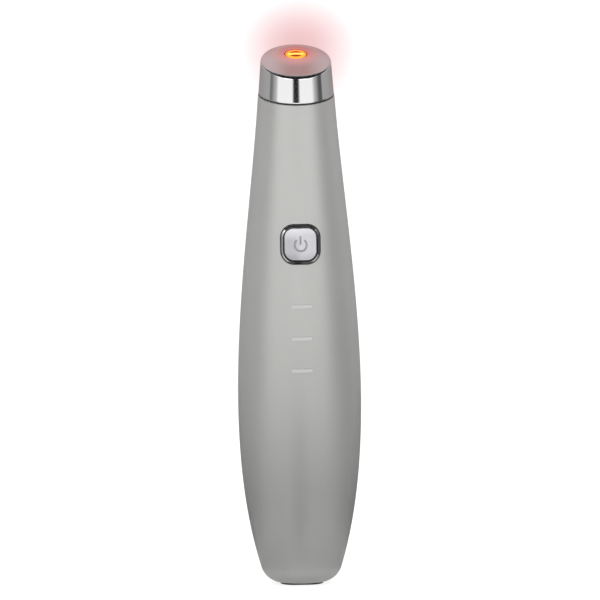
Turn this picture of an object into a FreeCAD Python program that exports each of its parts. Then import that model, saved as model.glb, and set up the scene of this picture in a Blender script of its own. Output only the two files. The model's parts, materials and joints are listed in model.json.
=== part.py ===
"""Heated eye massager wand, as a parametric FreeCAD document.

Two moulded half shells close on a lipped seam and carry a polished, tilted metal head, a framed
power button, three indicator bars and a foot with the charging port.  Inside are the board, the
cell, the vibration motor with its off-centre weight, and the head's heater and light.

Millimetres.  +Z runs up the wand, -Y is the front with the button and +X is to the right of
someone who faces it.  The origin is the centre of the foot's underside.
"""
import FreeCAD, Part
import math
import os

import Sketcher
from FreeCAD import Placement, Rotation, Vector

SIZES = [
    # outer form: half widths at five heights, and how much smaller the half depth is there
    ("foot_proud", 0.35, "the foot stands out below the shells"),
    ("base_half", 9.1, "half width at the base, before its edge is rounded"),
    ("base_flat", 1.1, "half width less half depth there"),
    ("base_round", 5.7, "radius of the base's outer edge"),
    ("lower_height", 18.0, "height of the lower section"),
    ("lower_half", 13.65, "half width there"),
    ("lower_flat", 2.0, "half width less half depth there"),
    ("belly_height", 50.0, "height of the widest section"),
    ("belly_half", 16.0, "half width there"),
    ("belly_flat", 2.4, "half width less half depth there"),
    ("button_height", 89.9, "height of the button and of the section through it"),
    ("button_half", 13.55, "half width there"),
    ("button_flat", 1.45, "half width less half depth there"),
    ("upper_above", 20.0, "the upper section lies above the button"),
    ("upper_half", 11.5, "half width there"),
    ("upper_flat", 0.7, "half width less half depth there"),
    ("neck_above", 3.1, "the form's round end lies above the head's seam"),
    ("neck_inset", 0.1, "its radius is smaller than the head's"),
    # shells
    ("wall", 1.8, "shell wall"),
    ("floor_round", 2.0, "radius of the floor's inner edge"),
    ("split_gap", 0.1, "gap between the two shells"),
    ("lip_tall", 1.2, "the front shell's lip reaches this far into the rear shell"),
    ("lip_gap", 0.1, "clearance round the lip"),
    ("bead_half", 0.45, "radius of the snap beads on the lip"),
    ("collar_thick", 1.2, "rib that holds the head carrier"),
    ("cutter", 160.0, "size of the blocks that only cut"),
    # fits
    ("fit", 0.05, "clearance round a piece that is set in"),
    ("slide", 0.15, "clearance round the button in its frame"),
    ("bearing_gap", 0.05, "gap between faces that bear on each other"),
    # metal head and the seam below it
    ("seam_above", 5.1, "the seam lies above the motor's weight, at the axis"),
    ("seam_tilt", 12.0, "tilt of that seam, lower at the front, degrees"),
    ("gasket_thick", 0.4, "gasket between shells and head"),
    ("gasket_inset", 0.2, "the gasket's edge lies inside the head's"),
    ("head_half", 9.8, "head radius at the seam"),
    ("head_taper", 0.7, "the head's radius is smaller by this at the rim"),
    ("head_tall", 9.0, "the rim's plane lies above the seam, at the axis"),
    ("head_tilt", 20.5, "tilt of the rim, lower at the front, degrees"),
    ("dome_radius", 20.8, "radius of the domed top"),
    ("dome_rise", 2.1, "top of the dome above the rim's plane"),
    ("rim_round", 1.0, "rounding of the rim"),
    ("head_wall", 1.2, "wall of the head"),
    ("window_half", 3.0, "radius of the light window"),
    ("window_bevel", 0.35, "bevel round the window"),
    # light, heater and their carrier under the head
    ("lens_recess", 0.2, "the lens lies below the dome"),
    ("lens_flange_half", 4.2, "radius of the lens flange"),
    ("lens_flange_thick", 0.8, "thickness of that flange"),
    ("lens_skirt", 0.7, "wall of the lens skirt"),
    ("led_wide", 3.4, "head light width"),
    ("led_tall", 1.5, "head light height"),
    ("led_room", 0.25, "room between head light and lens"),
    ("led_board_half", 6.2, "radius of the head's board"),
    ("led_board_thick", 1.0, "thickness of the head's board"),
    ("heater_in", 4.7, "inner radius of the heating film"),
    ("heater_margin", 0.9, "the film ends this far inside the head's wall"),
    ("heater_thick", 0.2, "thickness of the heating film"),
    ("heater_tail_wide", 2.4, "width of the film's tail"),
    ("heater_tail_at", 5.6, "distance of the tail from the light's axis"),
    ("sensor_long", 1.8, "temperature sensor length"),
    ("sensor_wide", 1.0, "temperature sensor width"),
    ("sensor_tall", 0.7, "temperature sensor height"),
    ("carrier_above", 1.4, "the carrier starts above the motor's lower end"),
    ("carrier_wall", 1.7, "wall of the motor socket"),
    ("carrier_groove_below", 6.8, "the groove that the shells' rib holds lies below the seam"),
    ("carrier_groove_deep", 1.3, "depth of that groove"),
    ("carrier_channel", 2.3, "half width of the channel for the head's leads"),
    ("carrier_skin", 0.5, "plastic left between that channel and the motor socket"),
    # vibration motor
    ("motor_above", 2.6, "the motor can lies above the board"),
    ("motor_long", 13.0, "length of the motor can"),
    ("motor_half", 3.5, "radius of the motor can"),
    ("motor_cap_thick", 0.8, "thickness of the motor's end cap"),
    ("shaft_half", 0.75, "motor shaft radius"),
    ("shaft_gap", 0.05, "running clearance round the shaft"),
    ("shaft_inside", 8.0, "length of shaft inside the can"),
    ("sleeve_thick", 0.85, "wall of the motor's rubber sleeve"),
    ("weight_above", 1.2, "the off-centre weight lies above the can"),
    ("weight_long", 4.0, "length of the weight"),
    ("weight_half", 3.2, "radius of the weight"),
    ("weight_hub_half", 1.6, "radius of the weight's hub"),
    ("weight_room", 0.7, "room round the turning weight"),
    # button
    ("bezel_wide", 10.55, "button frame, side to side"),
    ("bezel_corner", 3.6, "corner radius of the frame"),
    ("bezel_ring", 0.8, "width of the frame's visible ring"),
    ("bezel_step", 0.28, "the frame's neck is this much smaller all round"),
    ("bezel_proud", 0.45, "the frame stands out of the shell"),
    ("bezel_deep", 3.1, "the frame reaches this far behind the shell's face"),
    ("button_proud", 0.25, "the button stands out of the shell"),
    ("button_lip", 0.85, "the button's flange stands out round it"),
    ("button_lip_thick", 0.8, "thickness of that flange"),
    ("button_travel", 0.4, "how far the button goes in"),
    ("nib_half", 1.1, "radius of the button's nib"),
    ("sign_half", 1.56, "radius of the power sign's ring, at its line's middle"),
    ("sign_line", 0.42, "width of the sign's lines"),
    ("sign_gap", 40.0, "half of the ring's opening, degrees"),
    ("sign_below", 0.2, "the ring's middle lies below the button's"),
    ("sign_bar_low", 0.15, "the sign's bar starts above the ring's middle"),
    ("sign_bar_top", 2.2, "and ends above it"),
    ("sign_deep", 0.1, "depth of the engraving"),
    ("switch_wide", 4.5, "tact switch body"),
    ("switch_tall", 2.8, "its height on the board"),
    ("plunger_half", 1.2, "radius of its plunger"),
    ("plunger_proud", 0.7, "the plunger stands out of the switch"),
    ("plunger_inside", 0.8, "length of plunger inside the switch"),
    # charging port and foot
    ("port_wide", 8.94, "charging port width"),
    ("port_tall", 3.26, "charging port height"),
    ("port_long", 7.35, "charging port length"),
    ("port_corner", 1.3, "its corner radius"),
    ("port_sheet", 0.3, "its metal sheet"),
    ("port_mouth", 0.5, "height of its mouth above the foot's underside"),
    ("port_back", 0.9, "thickness of the insulator behind its cavity"),
    ("tongue_wide", 6.69, "width of its tongue"),
    ("tongue_thick", 0.7, "thickness of its tongue"),
    ("tongue_long", 4.45, "length of its tongue"),
    ("port_room", 0.15, "clearance round the port in the foot"),
    ("foot_wide", 11.2, "foot width"),
    ("foot_deep", 8.4, "foot depth"),
    ("foot_corner", 3.9, "foot corner radius"),
    ("foot_seat", 0.85, "the foot is sunk this far into the shells' floor"),
    ("foot_groove", 0.5, "depth of the groove that the floor's edge fills"),
    ("foot_top", 0.8, "thickness of the foot above the floor"),
    ("foot_edge", 0.25, "rounding of the foot's lower edge"),
    # board
    ("board_wide", 13.0, "board width"),
    ("board_foot_wide", 10.4, "width of the board's narrow foot"),
    ("board_foot_top", 10.0, "height where the board widens"),
    ("board_low", 3.7, "lower end of the board"),
    ("board_end", 3.5, "the board ends above its upper screw"),
    ("board_thick", 1.0, "board thickness"),
    ("screw_low", 20.0, "height of the lower board screw"),
    ("screw_above", 8.5, "the upper board screw lies above the button"),
    ("screw_half", 0.8, "screw thread radius"),
    ("screw_long", 5.0, "screw length under its head"),
    ("screw_head_half", 1.6, "screw head radius"),
    ("screw_head_tall", 1.1, "screw head height"),
    ("cross_wide", 0.5, "width of the cross recess"),
    ("cross_deep", 0.6, "depth of the cross recess"),
    ("boss_half", 2.2, "radius of the screw bosses"),
    ("chip_height", 38.0, "height of the control chip"),
    ("chip_wide", 5.0, "control chip size"),
    ("chip_tall", 0.9, "control chip thickness"),
    ("charger_height", 13.6, "height of the charging chip"),
    ("charger_wide", 3.0, "charging chip size"),
    ("passive_long", 1.6, "small parts: length"),
    ("passive_wide", 0.8, "small parts: width"),
    ("passive_tall", 0.6, "small parts: height"),
    ("passive_pitch", 3.2, "small parts: spacing"),
    ("passive_rows", 4, "small parts: number of rows"),
    ("passive_side", 4.6, "small parts: distance from the middle"),
    ("passive_low", 29.0, "small parts: height of the lowest row"),
    # indicators
    ("indicator_below", 16.2, "the highest indicator bar lies below the button"),
    ("indicator_pitch", 8.3, "spacing of the indicator bars"),
    ("indicator_count", 3, "number of indicator bars"),
    ("bar_wide", 5.4, "indicator bar width"),
    ("bar_tall", 0.95, "indicator bar height"),
    ("guide_thick", 1.0, "thickness of the light guide's plate"),
    ("guide_wide", 8.0, "its width"),
    ("guide_margin", 3.6, "it reaches past the outer bars by this much"),
    ("pipe_wide", 2.6, "light pipe width"),
    ("pipe_tall", 1.4, "light pipe height"),
    ("pipe_gap", 0.3, "gap between light pipe and its light"),
    ("mode_led_wide", 1.6, "indicator light width"),
    ("mode_led_tall", 0.8, "indicator light height on the board"),
    ("peg_half", 1.0, "radius of the pegs that hold the light guide"),
    ("peg_pad_half", 1.7, "radius of the pads at their roots"),
    ("peg_end", 0.6, "length of peg behind the light guide"),
    # cell
    ("cell_half", 5.0, "cell radius"),
    ("cell_long", 44.0, "cell length"),
    ("cell_low", 26.0, "lower end of the cell"),
    ("cell_pad", 0.5, "foam between cell and board"),
    ("cell_pad_wide", 6.0, "width of that foam"),
    ("cell_pad_margin", 4.0, "the foam ends this far inside the cell's ends"),
    ("cradle_thick", 1.2, "cradle rib thickness"),
    ("cradle_half", 6.6, "half width of the cradle ribs"),
    ("cradle_reach", 1.8, "the ribs' arms end this far in front of the cell's axis"),
    ("cradle_inset", 4.5, "the outer ribs lie this far inside the cell's ends"),
    ("stop_deep", 3.2, "how much of the cell's end the stops cover"),
    ("tab_wide", 4.0, "solder tab width"),
    ("tab_thick", 0.25, "solder tab thickness"),
    ("tab_long", 6.0, "solder tab length"),
    # leads
    ("lead_half", 0.4, "lead radius"),
    ("lead_bend", 2.0, "lead bend radius"),
    ("cell_lead_rise", 3.6, "the cell's leads run this far past its tabs"),
    ("motor_lead_side", 2.5, "the motor's leads lie this far from the middle"),
    ("motor_lead_back", 1.2, "and this far behind the motor's axis"),
    ("motor_lead_below", 1.2, "they meet the board this far below its end"),
    ("head_lead_pitch", 1.1, "spacing of the head's leads"),
    ("head_lead_count", 4, "number of the head's leads"),
    ("head_lead_below", 8.0, "they meet the board this far below its end"),
]

# places that several pieces share, as expressions on the sizes
FACE = "(dim.button_flat - dim.button_half)"
BEZEL_BACK = "(%s + dim.bezel_deep)" % FACE
LIP_FRONT = "(%s + dim.slide)" % BEZEL_BACK
LIP_BACK = "(%s + dim.button_lip_thick)" % LIP_FRONT
BUTTON_WIDE = "(dim.bezel_wide - 2*dim.bezel_ring - 2*dim.slide)"
BUTTON_CORNER = "(dim.bezel_corner - dim.bezel_ring - dim.slide)"
BOARD_BACK = "(-dim.port_tall/2)"
BOARD_FRONT = "(%s - dim.board_thick)" % BOARD_BACK
SWITCH_FRONT = "(%s - dim.switch_tall)" % BOARD_FRONT
PLUNGER_TIP = "(%s - dim.plunger_proud)" % SWITCH_FRONT
GUIDE_FRONT = "(max(%s; dim.belly_flat - dim.belly_half) + dim.wall + dim.slide)" % FACE
GUIDE_BACK = "(%s + dim.guide_thick)" % GUIDE_FRONT
CELL_BACKSET = "(%s + dim.cell_pad + dim.bearing_gap + dim.cell_half)" % BOARD_BACK
CELL_TOP = "(dim.cell_low + dim.cell_long)"
FLOOR_TOP = "(dim.foot_proud + dim.wall)"
SCREW_HIGH = "(dim.button_height + dim.screw_above)"
BOARD_TOP = "(%s + dim.board_end)" % SCREW_HIGH
MOTOR_LOW = "(%s + dim.motor_above)" % BOARD_TOP
CARRIER_LOW = "(%s + dim.carrier_above)" % MOTOR_LOW
MOTOR_TOP = "(%s + dim.motor_long)" % MOTOR_LOW
WEIGHT_LOW = "(%s + dim.weight_above)" % MOTOR_TOP
WEIGHT_TOP = "(%s + dim.weight_long)" % WEIGHT_LOW
SEAM = "(%s + dim.seam_above)" % WEIGHT_TOP
GROOVE = "(%s - dim.carrier_groove_below)" % SEAM
RIM = "(%s + dim.head_tall)" % SEAM
RIM_HALF = "(dim.head_half - dim.head_taper)"
SLEEVE_HALF = "(dim.motor_half + dim.fit + dim.sleeve_thick)"
SOCKET_HALF = "(%s + dim.fit)" % SLEEVE_HALF
CHANNEL_FLOOR = "(%s + dim.carrier_skin)" % SOCKET_HALF
HEAD_BORE = "(%s - dim.head_wall)" % RIM_HALF
INNER_DOME = "(dim.dome_radius - dim.head_wall)"
DOME_CENTRE = "(dim.dome_rise - dim.dome_radius)"

# the outer form's sections between its base and its neck, with their heights
STATIONS = {"lower": "dim.lower_height", "belly": "dim.belly_height",
            "button": "dim.button_height", "upper": "(dim.button_height + dim.upper_above)"}

# heights along the tilted axis of the head's light, from the rim's plane
LENS_SHOULDER = ("(%s + sqrt(%s^2 - dim.lens_flange_half^2) - dim.bearing_gap)"
                 % (DOME_CENTRE, INNER_DOME))
LENS_CEILING = "(%s - dim.lens_flange_thick)" % LENS_SHOULDER
LED_BOARD_TOP = "(%s - dim.led_room - dim.led_tall)" % LENS_CEILING
CARRIER_TOP = "(%s - dim.led_board_thick)" % LED_BOARD_TOP

doc = FreeCAD.newDocument("eye_massager_wand")
dim = doc.addObject("Spreadsheet::Sheet", "dim")
for row, (alias, number, meaning) in enumerate(SIZES, start=1):
    dim.set("A%d" % row, alias)
    dim.set("B%d" % row, str(number))
    dim.set("C%d" % row, meaning)
    dim.setAlias("B%d" % row, alias)
doc.recompute()

nodes = []
QUARTER = math.pi / 2  # quarter turn, in radians


def size(alias):
    """Value of one cell of the sheet."""
    return float(dim.get(alias))


def worked_out(expression):
    """Value of an expression on the sheet."""
    return float(doc.dim.evalExpression(expression))


def keep(thing, node):
    """Name a finished sub-part and list it for export."""
    thing.Label = node
    nodes.append(thing)
    return thing


def bind(thing, **expressions):
    """Bind properties to expressions; a double underscore stands for a dot."""
    for name, expression in expressions.items():
        thing.setExpression(name.replace("__", "."), str(expression))
    return thing


def place(thing, x="0", y="0", z="0"):
    return bind(thing, Placement__Base__x=x, Placement__Base__y=y, Placement__Base__z=z)


def tip(thing, tilt="dim.head_tilt"):
    """Turn a thing about X so that its own +Z leans towards the front."""
    thing.Placement = Placement(Vector(), Rotation(Vector(1, 0, 0), 1))
    return bind(thing, Placement__Rotation__Angle=tilt)


# ---------------------------------------------------------------- solids and booleans


def box(label, x, y, z):
    """Block between pairs of expressions."""
    block = doc.addObject("Part::Box", label)
    bind(block, Length="%s - (%s)" % (x[1], x[0]), Width="%s - (%s)" % (y[1], y[0]),
         Height="%s - (%s)" % (z[1], z[0]))
    return place(block, x[0], y[0], z[0])


def cylinder(label, radius, length, x="0", y="0", z="0"):
    """Cylinder that stands on a point, along Z."""
    rod = doc.addObject("Part::Cylinder", label)
    bind(rod, Radius=radius, Height=length)
    return place(rod, x, y, z)


def rod_forward(label, radius, x, z, back, front):
    """Cylinder along -Y, from the depth back to the depth front."""
    rod = cylinder(label, radius, "%s - (%s)" % (back, front), x, back, z)
    rod.Placement.Rotation = Rotation(Vector(1, 0, 0), 90)
    return rod


def block_above(label, height, tilt):
    """Large block whose underside crosses the axis at a height, tipped towards the front."""
    block = doc.addObject("Part::Box", label)
    tip(block, tilt)
    bind(block, Length="dim.cutter", Width="dim.cutter", Height="dim.cutter")
    return place(block, "-dim.cutter/2", "-dim.cutter/2*cos(%s)" % tilt,
                 "%s - dim.cutter/2*sin(%s)" % (height, tilt))


def cut(label, base, *tools):
    result = doc.addObject("Part::Cut", label)
    result.Base = base
    result.Tool = tools[0] if len(tools) == 1 else fuse(label + "_tools", *tools)
    return result


def common(label, base, tool):
    result = doc.addObject("Part::Common", label)
    result.Base = base
    result.Tool = tool
    return result


def fuse(label, *shapes):
    result = doc.addObject("Part::MultiFuse", label)
    result.Shapes = list(shapes)
    return result


def group(label, *solids):
    """Separate solids that share one node."""
    result = doc.addObject("Part::Compound", label)
    result.Links = list(solids)
    return result


# ---------------------------------------------------------------- bodies and sketches


def new_body(label):
    return doc.addObject("PartDesign::Body", label)


def new_sketch(body, role, away="0"):
    """Sketch on one of the body's origin planes, moved along the plane's normal."""
    sketch = body.newObject("Sketcher::SketchObject", "%s_sketch" % body.Name)
    plane = [one for one in body.Origin.OriginFeatures if one.Role == role][0]
    sketch.AttachmentSupport = [(plane, "")]
    sketch.MapMode = "FlatFace"
    return bind(sketch, AttachmentOffset__Base__z=away)


def hold(sketch, kind, *where_and_what):
    """Add a dimension whose value follows an expression."""
    *where, expression = where_and_what
    number = worked_out(expression)
    index = sketch.addConstraint(Sketcher.Constraint(kind, *where, number))
    sketch.setExpression("Constraints[%d]" % index, expression)


def polygon(sketch, corners):
    """Closed outline through pairs of expressions."""
    first = sketch.GeometryCount
    points = [Vector(worked_out(x), worked_out(y), 0) for x, y in corners]
    count = len(points)
    for k in range(count):
        sketch.addGeometry(Part.LineSegment(points[k], points[(k + 1) % count]), False)
    for k in range(count):
        following = first + (k + 1) % count
        sketch.addConstraint(Sketcher.Constraint("Coincident", first + k, 2, following, 1))
    for k, (x, y) in enumerate(corners):
        hold(sketch, "DistanceX", -1, 1, first + k, 1, x)
        hold(sketch, "DistanceY", -1, 1, first + k, 1, y)
    return sketch


def rectangle(sketch, x, y):
    return polygon(sketch, [(x[0], y[0]), (x[1], y[0]), (x[1], y[1]), (x[0], y[1])])


def circle(sketch, radius, x="0", y="0"):
    index = sketch.GeometryCount
    middle = Vector(worked_out(x), worked_out(y), 0)
    ring = Part.Circle(middle, Vector(0, 0, 1), worked_out(radius))
    sketch.addGeometry(ring, False)
    hold(sketch, "DistanceX", -1, 1, index, 3, x)
    hold(sketch, "DistanceY", -1, 1, index, 3, y)
    hold(sketch, "Radius", index, radius)
    return sketch


def rounded_rectangle(sketch, wide, tall, corner, middle="0"):
    """Rectangle with round corners, centred on a height of the sketch."""
    first = sketch.GeometryCount
    right = worked_out(wide) / 2
    up = worked_out(tall) / 2
    radius = worked_out(corner)
    shift = worked_out(middle)
    turns = [(1, -1), (1, 1), (-1, 1), (-1, -1)]
    sides = [((radius - right, -up), (right - radius, -up)),
             ((right, radius - up), (right, up - radius)),
             ((right - radius, up), (radius - right, up)),
             ((-right, up - radius), (-right, radius - up))]
    for k in range(4):
        start, end = [Vector(a, b + shift, 0) for a, b in sides[k]]
        sketch.addGeometry(Part.LineSegment(start, end), False)
        across, along = turns[k]
        centre = Vector(across * (right - radius), along * (up - radius) + shift, 0)
        arc = Part.Circle(centre, Vector(0, 0, 1), radius)
        sketch.addGeometry(Part.ArcOfCircle(arc, (k - 1) * QUARTER, k * QUARTER), False)
    for k in range(8):
        joint = Sketcher.Constraint("Tangent", first + k, 2, first + (k + 1) % 8, 1)
        sketch.addConstraint(joint)
    for k in (0, 4):
        sketch.addConstraint(Sketcher.Constraint("Horizontal", first + k))
        sketch.addConstraint(Sketcher.Constraint("Vertical", first + k + 2))
    for k in (3, 5, 7):
        sketch.addConstraint(Sketcher.Constraint("Equal", first + 1, first + k))
    hold(sketch, "DistanceX", -1, 1, first + 2, 1, "(%s)/2" % wide)
    hold(sketch, "DistanceX", -1, 1, first + 6, 1, "-(%s)/2" % wide)
    hold(sketch, "DistanceY", -1, 1, first + 4, 1, "(%s) + (%s)/2" % (middle, tall))
    hold(sketch, "DistanceY", -1, 1, first, 1, "(%s) - (%s)/2" % (middle, tall))
    hold(sketch, "Radius", first + 1, corner)
    return sketch


def feature(body, kind, sketch, length, backwards=False):
    """Pad or pocket of a sketch."""
    result = body.newObject("PartDesign::" + kind, "%s_%s" % (body.Name, kind.lower()))
    result.Profile = sketch
    result.Reversed = backwards
    return bind(result, Length=length)


def revolve(body, sketch):
    """Full turn about the sketch's own vertical axis."""
    result = body.newObject("PartDesign::Revolution", "%s_turned" % body.Name)
    result.Profile = sketch
    result.ReferenceAxis = (sketch, ["V_Axis"])
    result.Angle = 360
    return result


def turned(label, outline):
    """Body turned from an outline of radius and height."""
    body = new_body(label)
    revolve(body, polygon(new_sketch(body, "XZ_Plane"), outline))
    return body


def slab(label, x, z, back, thick):
    """Flat part on the board's plane, from the depth back forwards by thick."""
    body = new_body(label)
    outline = rectangle(new_sketch(body, "XZ_Plane", "-(%s)" % back), x, z)
    feature(body, "Pad", outline, thick)
    return body


def about(middle, wide):
    """Pair of expressions, centred on one."""
    return ("(%s) - (%s)/2" % (middle, wide), "(%s) + (%s)/2" % (middle, wide))


def round_block(label, wide, tall, corner, middle, back, front):
    """Prism with round corners along -Y, between two depths."""
    body = new_body(label)
    outline = rounded_rectangle(new_sketch(body, "XZ_Plane", "-(%s)" % back),
                                wide, tall, corner, middle)
    feature(body, "Pad", outline, "%s - (%s)" % (back, front))
    return body


# ---------------------------------------------------------------- the outer form


def oval(half, deep, height):
    """Level oval as four arcs, which meet at 45 degrees: clear of the split and the button."""
    middle = Vector(0, 0, height)
    if half - deep < 1e-6:
        curve = Part.Circle(middle, Vector(0, 0, 1), half)
    else:
        curve = Part.Ellipse(Vector(half, 0, height), Vector(0, deep, height), middle)
    return Part.Wire([curve.toShape((k - 0.5) * QUARTER, (k + 0.5) * QUARTER)
                      for k in range(4)])


def form(label, inset, rounding=0.0):
    """Solid inside the wand's outer surface, which is moved inwards by inset.

    Five ovals and a round neck are lofted, and the base's edge is then rounded.
    """
    sections = []
    for station, height in STATIONS.items():
        half = size(station + "_half") - inset
        sections.append(oval(half, half - size(station + "_flat"), worked_out(height)))
    base = size("base_half") - inset
    sections.insert(0, oval(base, base - size("base_flat"), size("foot_proud") + inset))
    neck = size("head_half") - size("neck_inset") - inset
    sections.append(oval(neck, neck, worked_out(SEAM) + size("neck_above") + inset))
    solid = Part.makeLoft(sections, True, False)
    if rounding:
        lowest = min(edge.BoundBox.ZMax for edge in solid.Edges)
        solid = solid.makeFillet(rounding, [edge for edge in solid.Edges
                                            if edge.BoundBox.ZMax < lowest + size("split_gap")])
    result = doc.addObject("Part::Feature", label)
    result.Shape = solid
    return result


wall = size("wall")
outer = form("outer", 0.0, size("base_round"))
inner = form("inner", wall, size("floor_round"))
middle = form("middle", wall / 2, size("base_round") - wall / 2)
socket = form("socket", wall / 2 - size("lip_gap"), size("base_round") - wall / 2)
frame_face = form("frame_face", -size("bezel_proud"))
button_face = form("button_face", -size("button_proud"))
sign_floor = form("sign_floor", size("sign_deep") - size("button_proud"))

everywhere = ("-dim.cutter", "dim.cutter")
far_front = "-dim.cutter/2"
above_seam = block_above("above_seam", SEAM, "dim.seam_tilt")

# ---------------------------------------------------------------- shells

hollow = cut("hollow", outer, inner)

collar_blank = cylinder("collar_blank", "dim.cutter/2", "dim.collar_thick",
                        z="%s - dim.collar_thick/2" % GROOVE)
groove_floor = ("(%s - dim.fit - dim.slide - dim.carrier_groove_deep)" % HEAD_BORE)
collar_bore = cylinder("collar_bore", "%s + dim.slide" % groove_floor, "dim.cutter",
                       z=STATIONS["upper"])
collar = common("collar", cut("collar_ring", collar_blank, collar_bore), middle)

ribbed = fuse("ribbed", hollow, collar)

bead_places = [(station, side) for station in STATIONS for side in (-1, 1)]


def beads(label, radius):
    """Round snaps on the lip, or the pockets for them, at the heights of the sections."""
    balls = []
    for station, side in bead_places:
        ball = doc.addObject("Part::Sphere", "%s_%s_%d" % (label, station, side + 1))
        bind(ball, Radius=radius)
        place(ball, "%d*(dim.%s_half - dim.wall/2)" % (side, station), "dim.lip_tall/2",
              STATIONS[station])
        balls.append(ball)
    return fuse(label, *balls)


snap_beads = beads("snap_beads", "dim.bead_half")
snap_pockets = beads("snap_pockets", "dim.bead_half + dim.lip_gap")

# opening in the floor that the foot's groove closes on
foot_hole = new_body("foot_hole")
foot_well = rounded_rectangle(new_sketch(foot_hole, "XY_Plane", "-dim.foot_proud"),
                              "dim.foot_wide + 2*dim.fit", "dim.foot_deep + 2*dim.fit",
                              "dim.foot_corner + dim.fit")
feature(foot_hole, "Pad", foot_well, "2*dim.foot_proud + dim.foot_seat + dim.fit")
foot_throat = rounded_rectangle(new_sketch(foot_hole, "XY_Plane"),
                                "dim.foot_wide - 2*dim.foot_groove + 2*dim.fit",
                                "dim.foot_deep - 2*dim.foot_groove + 2*dim.fit",
                                "dim.foot_corner - dim.foot_groove + dim.fit")
feature(foot_hole, "Pad", foot_throat, "%s + dim.wall" % FLOOR_TOP)

# front shell: bosses for the board, pegs for the light guide
BOARD_SCREWS = {"low": "dim.screw_low", "high": SCREW_HIGH}
bosses = []
pilots = []
for name, height in BOARD_SCREWS.items():
    bosses.append(rod_forward("boss_" + name, "dim.boss_half", "0", height,
                              BOARD_FRONT, far_front))
    pilots.append(rod_forward("pilot_" + name, "dim.screw_half + dim.fit", "0", height,
                              BOARD_FRONT, "%s - dim.screw_long" % BOARD_BACK))

indicators = ["(dim.button_height - dim.indicator_below - %d*dim.indicator_pitch)" % k
              for k in reversed(range(int(size("indicator_count"))))]
pegs = []
for k, height in enumerate(indicators[:-1]):
    between = "%s + dim.indicator_pitch/2" % height
    pegs.append(rod_forward("peg_%d" % k, "dim.peg_half", "0", between,
                            "%s + dim.peg_end" % GUIDE_BACK, far_front))
    pegs.append(rod_forward("peg_pad_%d" % k, "dim.peg_pad_half", "0", between,
                            "%s - dim.bearing_gap" % GUIDE_FRONT, far_front))
front_fixings = common("front_fixings", fuse("front_posts", *bosses, *pegs), middle)

bar_slots = [box("bar_slot_%d" % k, about("0", "dim.bar_wide + 2*dim.fit"),
                 (far_front, GUIDE_FRONT), about(height, "dim.bar_tall + 2*dim.fit"))
             for k, height in enumerate(indicators)]

frame_well = cut("frame_well",
                 round_block("frame_well_blank", "dim.bezel_wide + 2*dim.fit",
                             "dim.bezel_wide + 2*dim.fit", "dim.bezel_corner + dim.fit",
                             "dim.button_height", BEZEL_BACK, far_front),
                 middle)
neck_wide = "(dim.bezel_wide - 2*dim.bezel_step)"
neck_corner = "(dim.bezel_corner - dim.bezel_step)"
frame_hole = round_block("frame_hole", "%s + 2*dim.fit" % neck_wide,
                         "%s + 2*dim.fit" % neck_wide, "%s + dim.fit" % neck_corner,
                         "dim.button_height", SWITCH_FRONT, far_front)

# its wall ends at the split, and the inner half of the wall goes on as the lip
front_reach = box("front_reach", everywhere, ("-dim.cutter", "dim.lip_tall"), everywhere)
lip_relief = cut("lip_relief", box("lip_band", everywhere,
                                   ("-dim.split_gap/2", "2*dim.lip_tall"), everywhere), middle)
# room for the light guide's plate, also where the wall of a slimmer belly would reach it
guide_room = box("guide_room", about("0", "dim.guide_wide + 2*dim.slide"),
                 ("%s - dim.bearing_gap" % GUIDE_FRONT, GUIDE_BACK),
                 ("%s - dim.guide_margin - dim.slide" % indicators[0],
                  "%s + dim.guide_margin + dim.slide" % indicators[-1]))
front_walls = cut("front_walls", common("front_shape", ribbed, front_reach),
                  lip_relief, guide_room)
front_blank = fuse("front_blank", front_walls, snap_beads, front_fixings)
keep(cut("front_cut", front_blank, above_seam, foot_hole, frame_well, frame_hole,
         *bar_slots, *pilots), "front_shell")

# rear shell: cradle ribs round the cell and a stop at each end of it
cell_ribs = []
for name, height in (("low", "dim.cell_low + dim.cradle_inset"),
                     ("mid", "dim.cell_low + dim.cell_long/2"),
                     ("high", "%s - dim.cradle_inset" % CELL_TOP)):
    cell_ribs.append(box("cradle_" + name, about("0", "2*dim.cradle_half"),
                         ("%s - dim.cradle_reach" % CELL_BACKSET, "dim.cutter/2"),
                         about(height, "dim.cradle_thick")))
for name, height in (("low", "dim.cell_low - dim.tab_thick - dim.slide - dim.cradle_thick"),
                     ("high", "%s + dim.tab_thick + dim.slide" % CELL_TOP)):
    cell_ribs.append(box("stop_" + name, about("0", "dim.cell_half"),
                         ("%s + dim.cell_half - dim.stop_deep" % CELL_BACKSET, "dim.cutter/2"),
                         (height, "%s + dim.cradle_thick" % height)))
cell_room = cylinder("cell_room", "dim.cell_half + dim.fit", "dim.cell_long",
                     y=CELL_BACKSET, z="dim.cell_low")
cradle = cut("cradle", common("cradle_blank", fuse("cradle_ribs", *cell_ribs), middle), cell_room)

rear_half = box("rear_half", everywhere, ("dim.split_gap/2", "dim.cutter"), everywhere)
lip_room = common("lip_room", socket,
                  box("lip_room_band", everywhere,
                      ("-dim.wall", "dim.lip_tall + dim.lip_gap"), everywhere))
rear_walls = cut("rear_walls", common("rear_shape", ribbed, rear_half), lip_room)
keep(cut("rear_cut", fuse("rear_blank", rear_walls, cradle), above_seam, foot_hole,
         snap_pockets), "rear_shell")

# ---------------------------------------------------------------- foot

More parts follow.
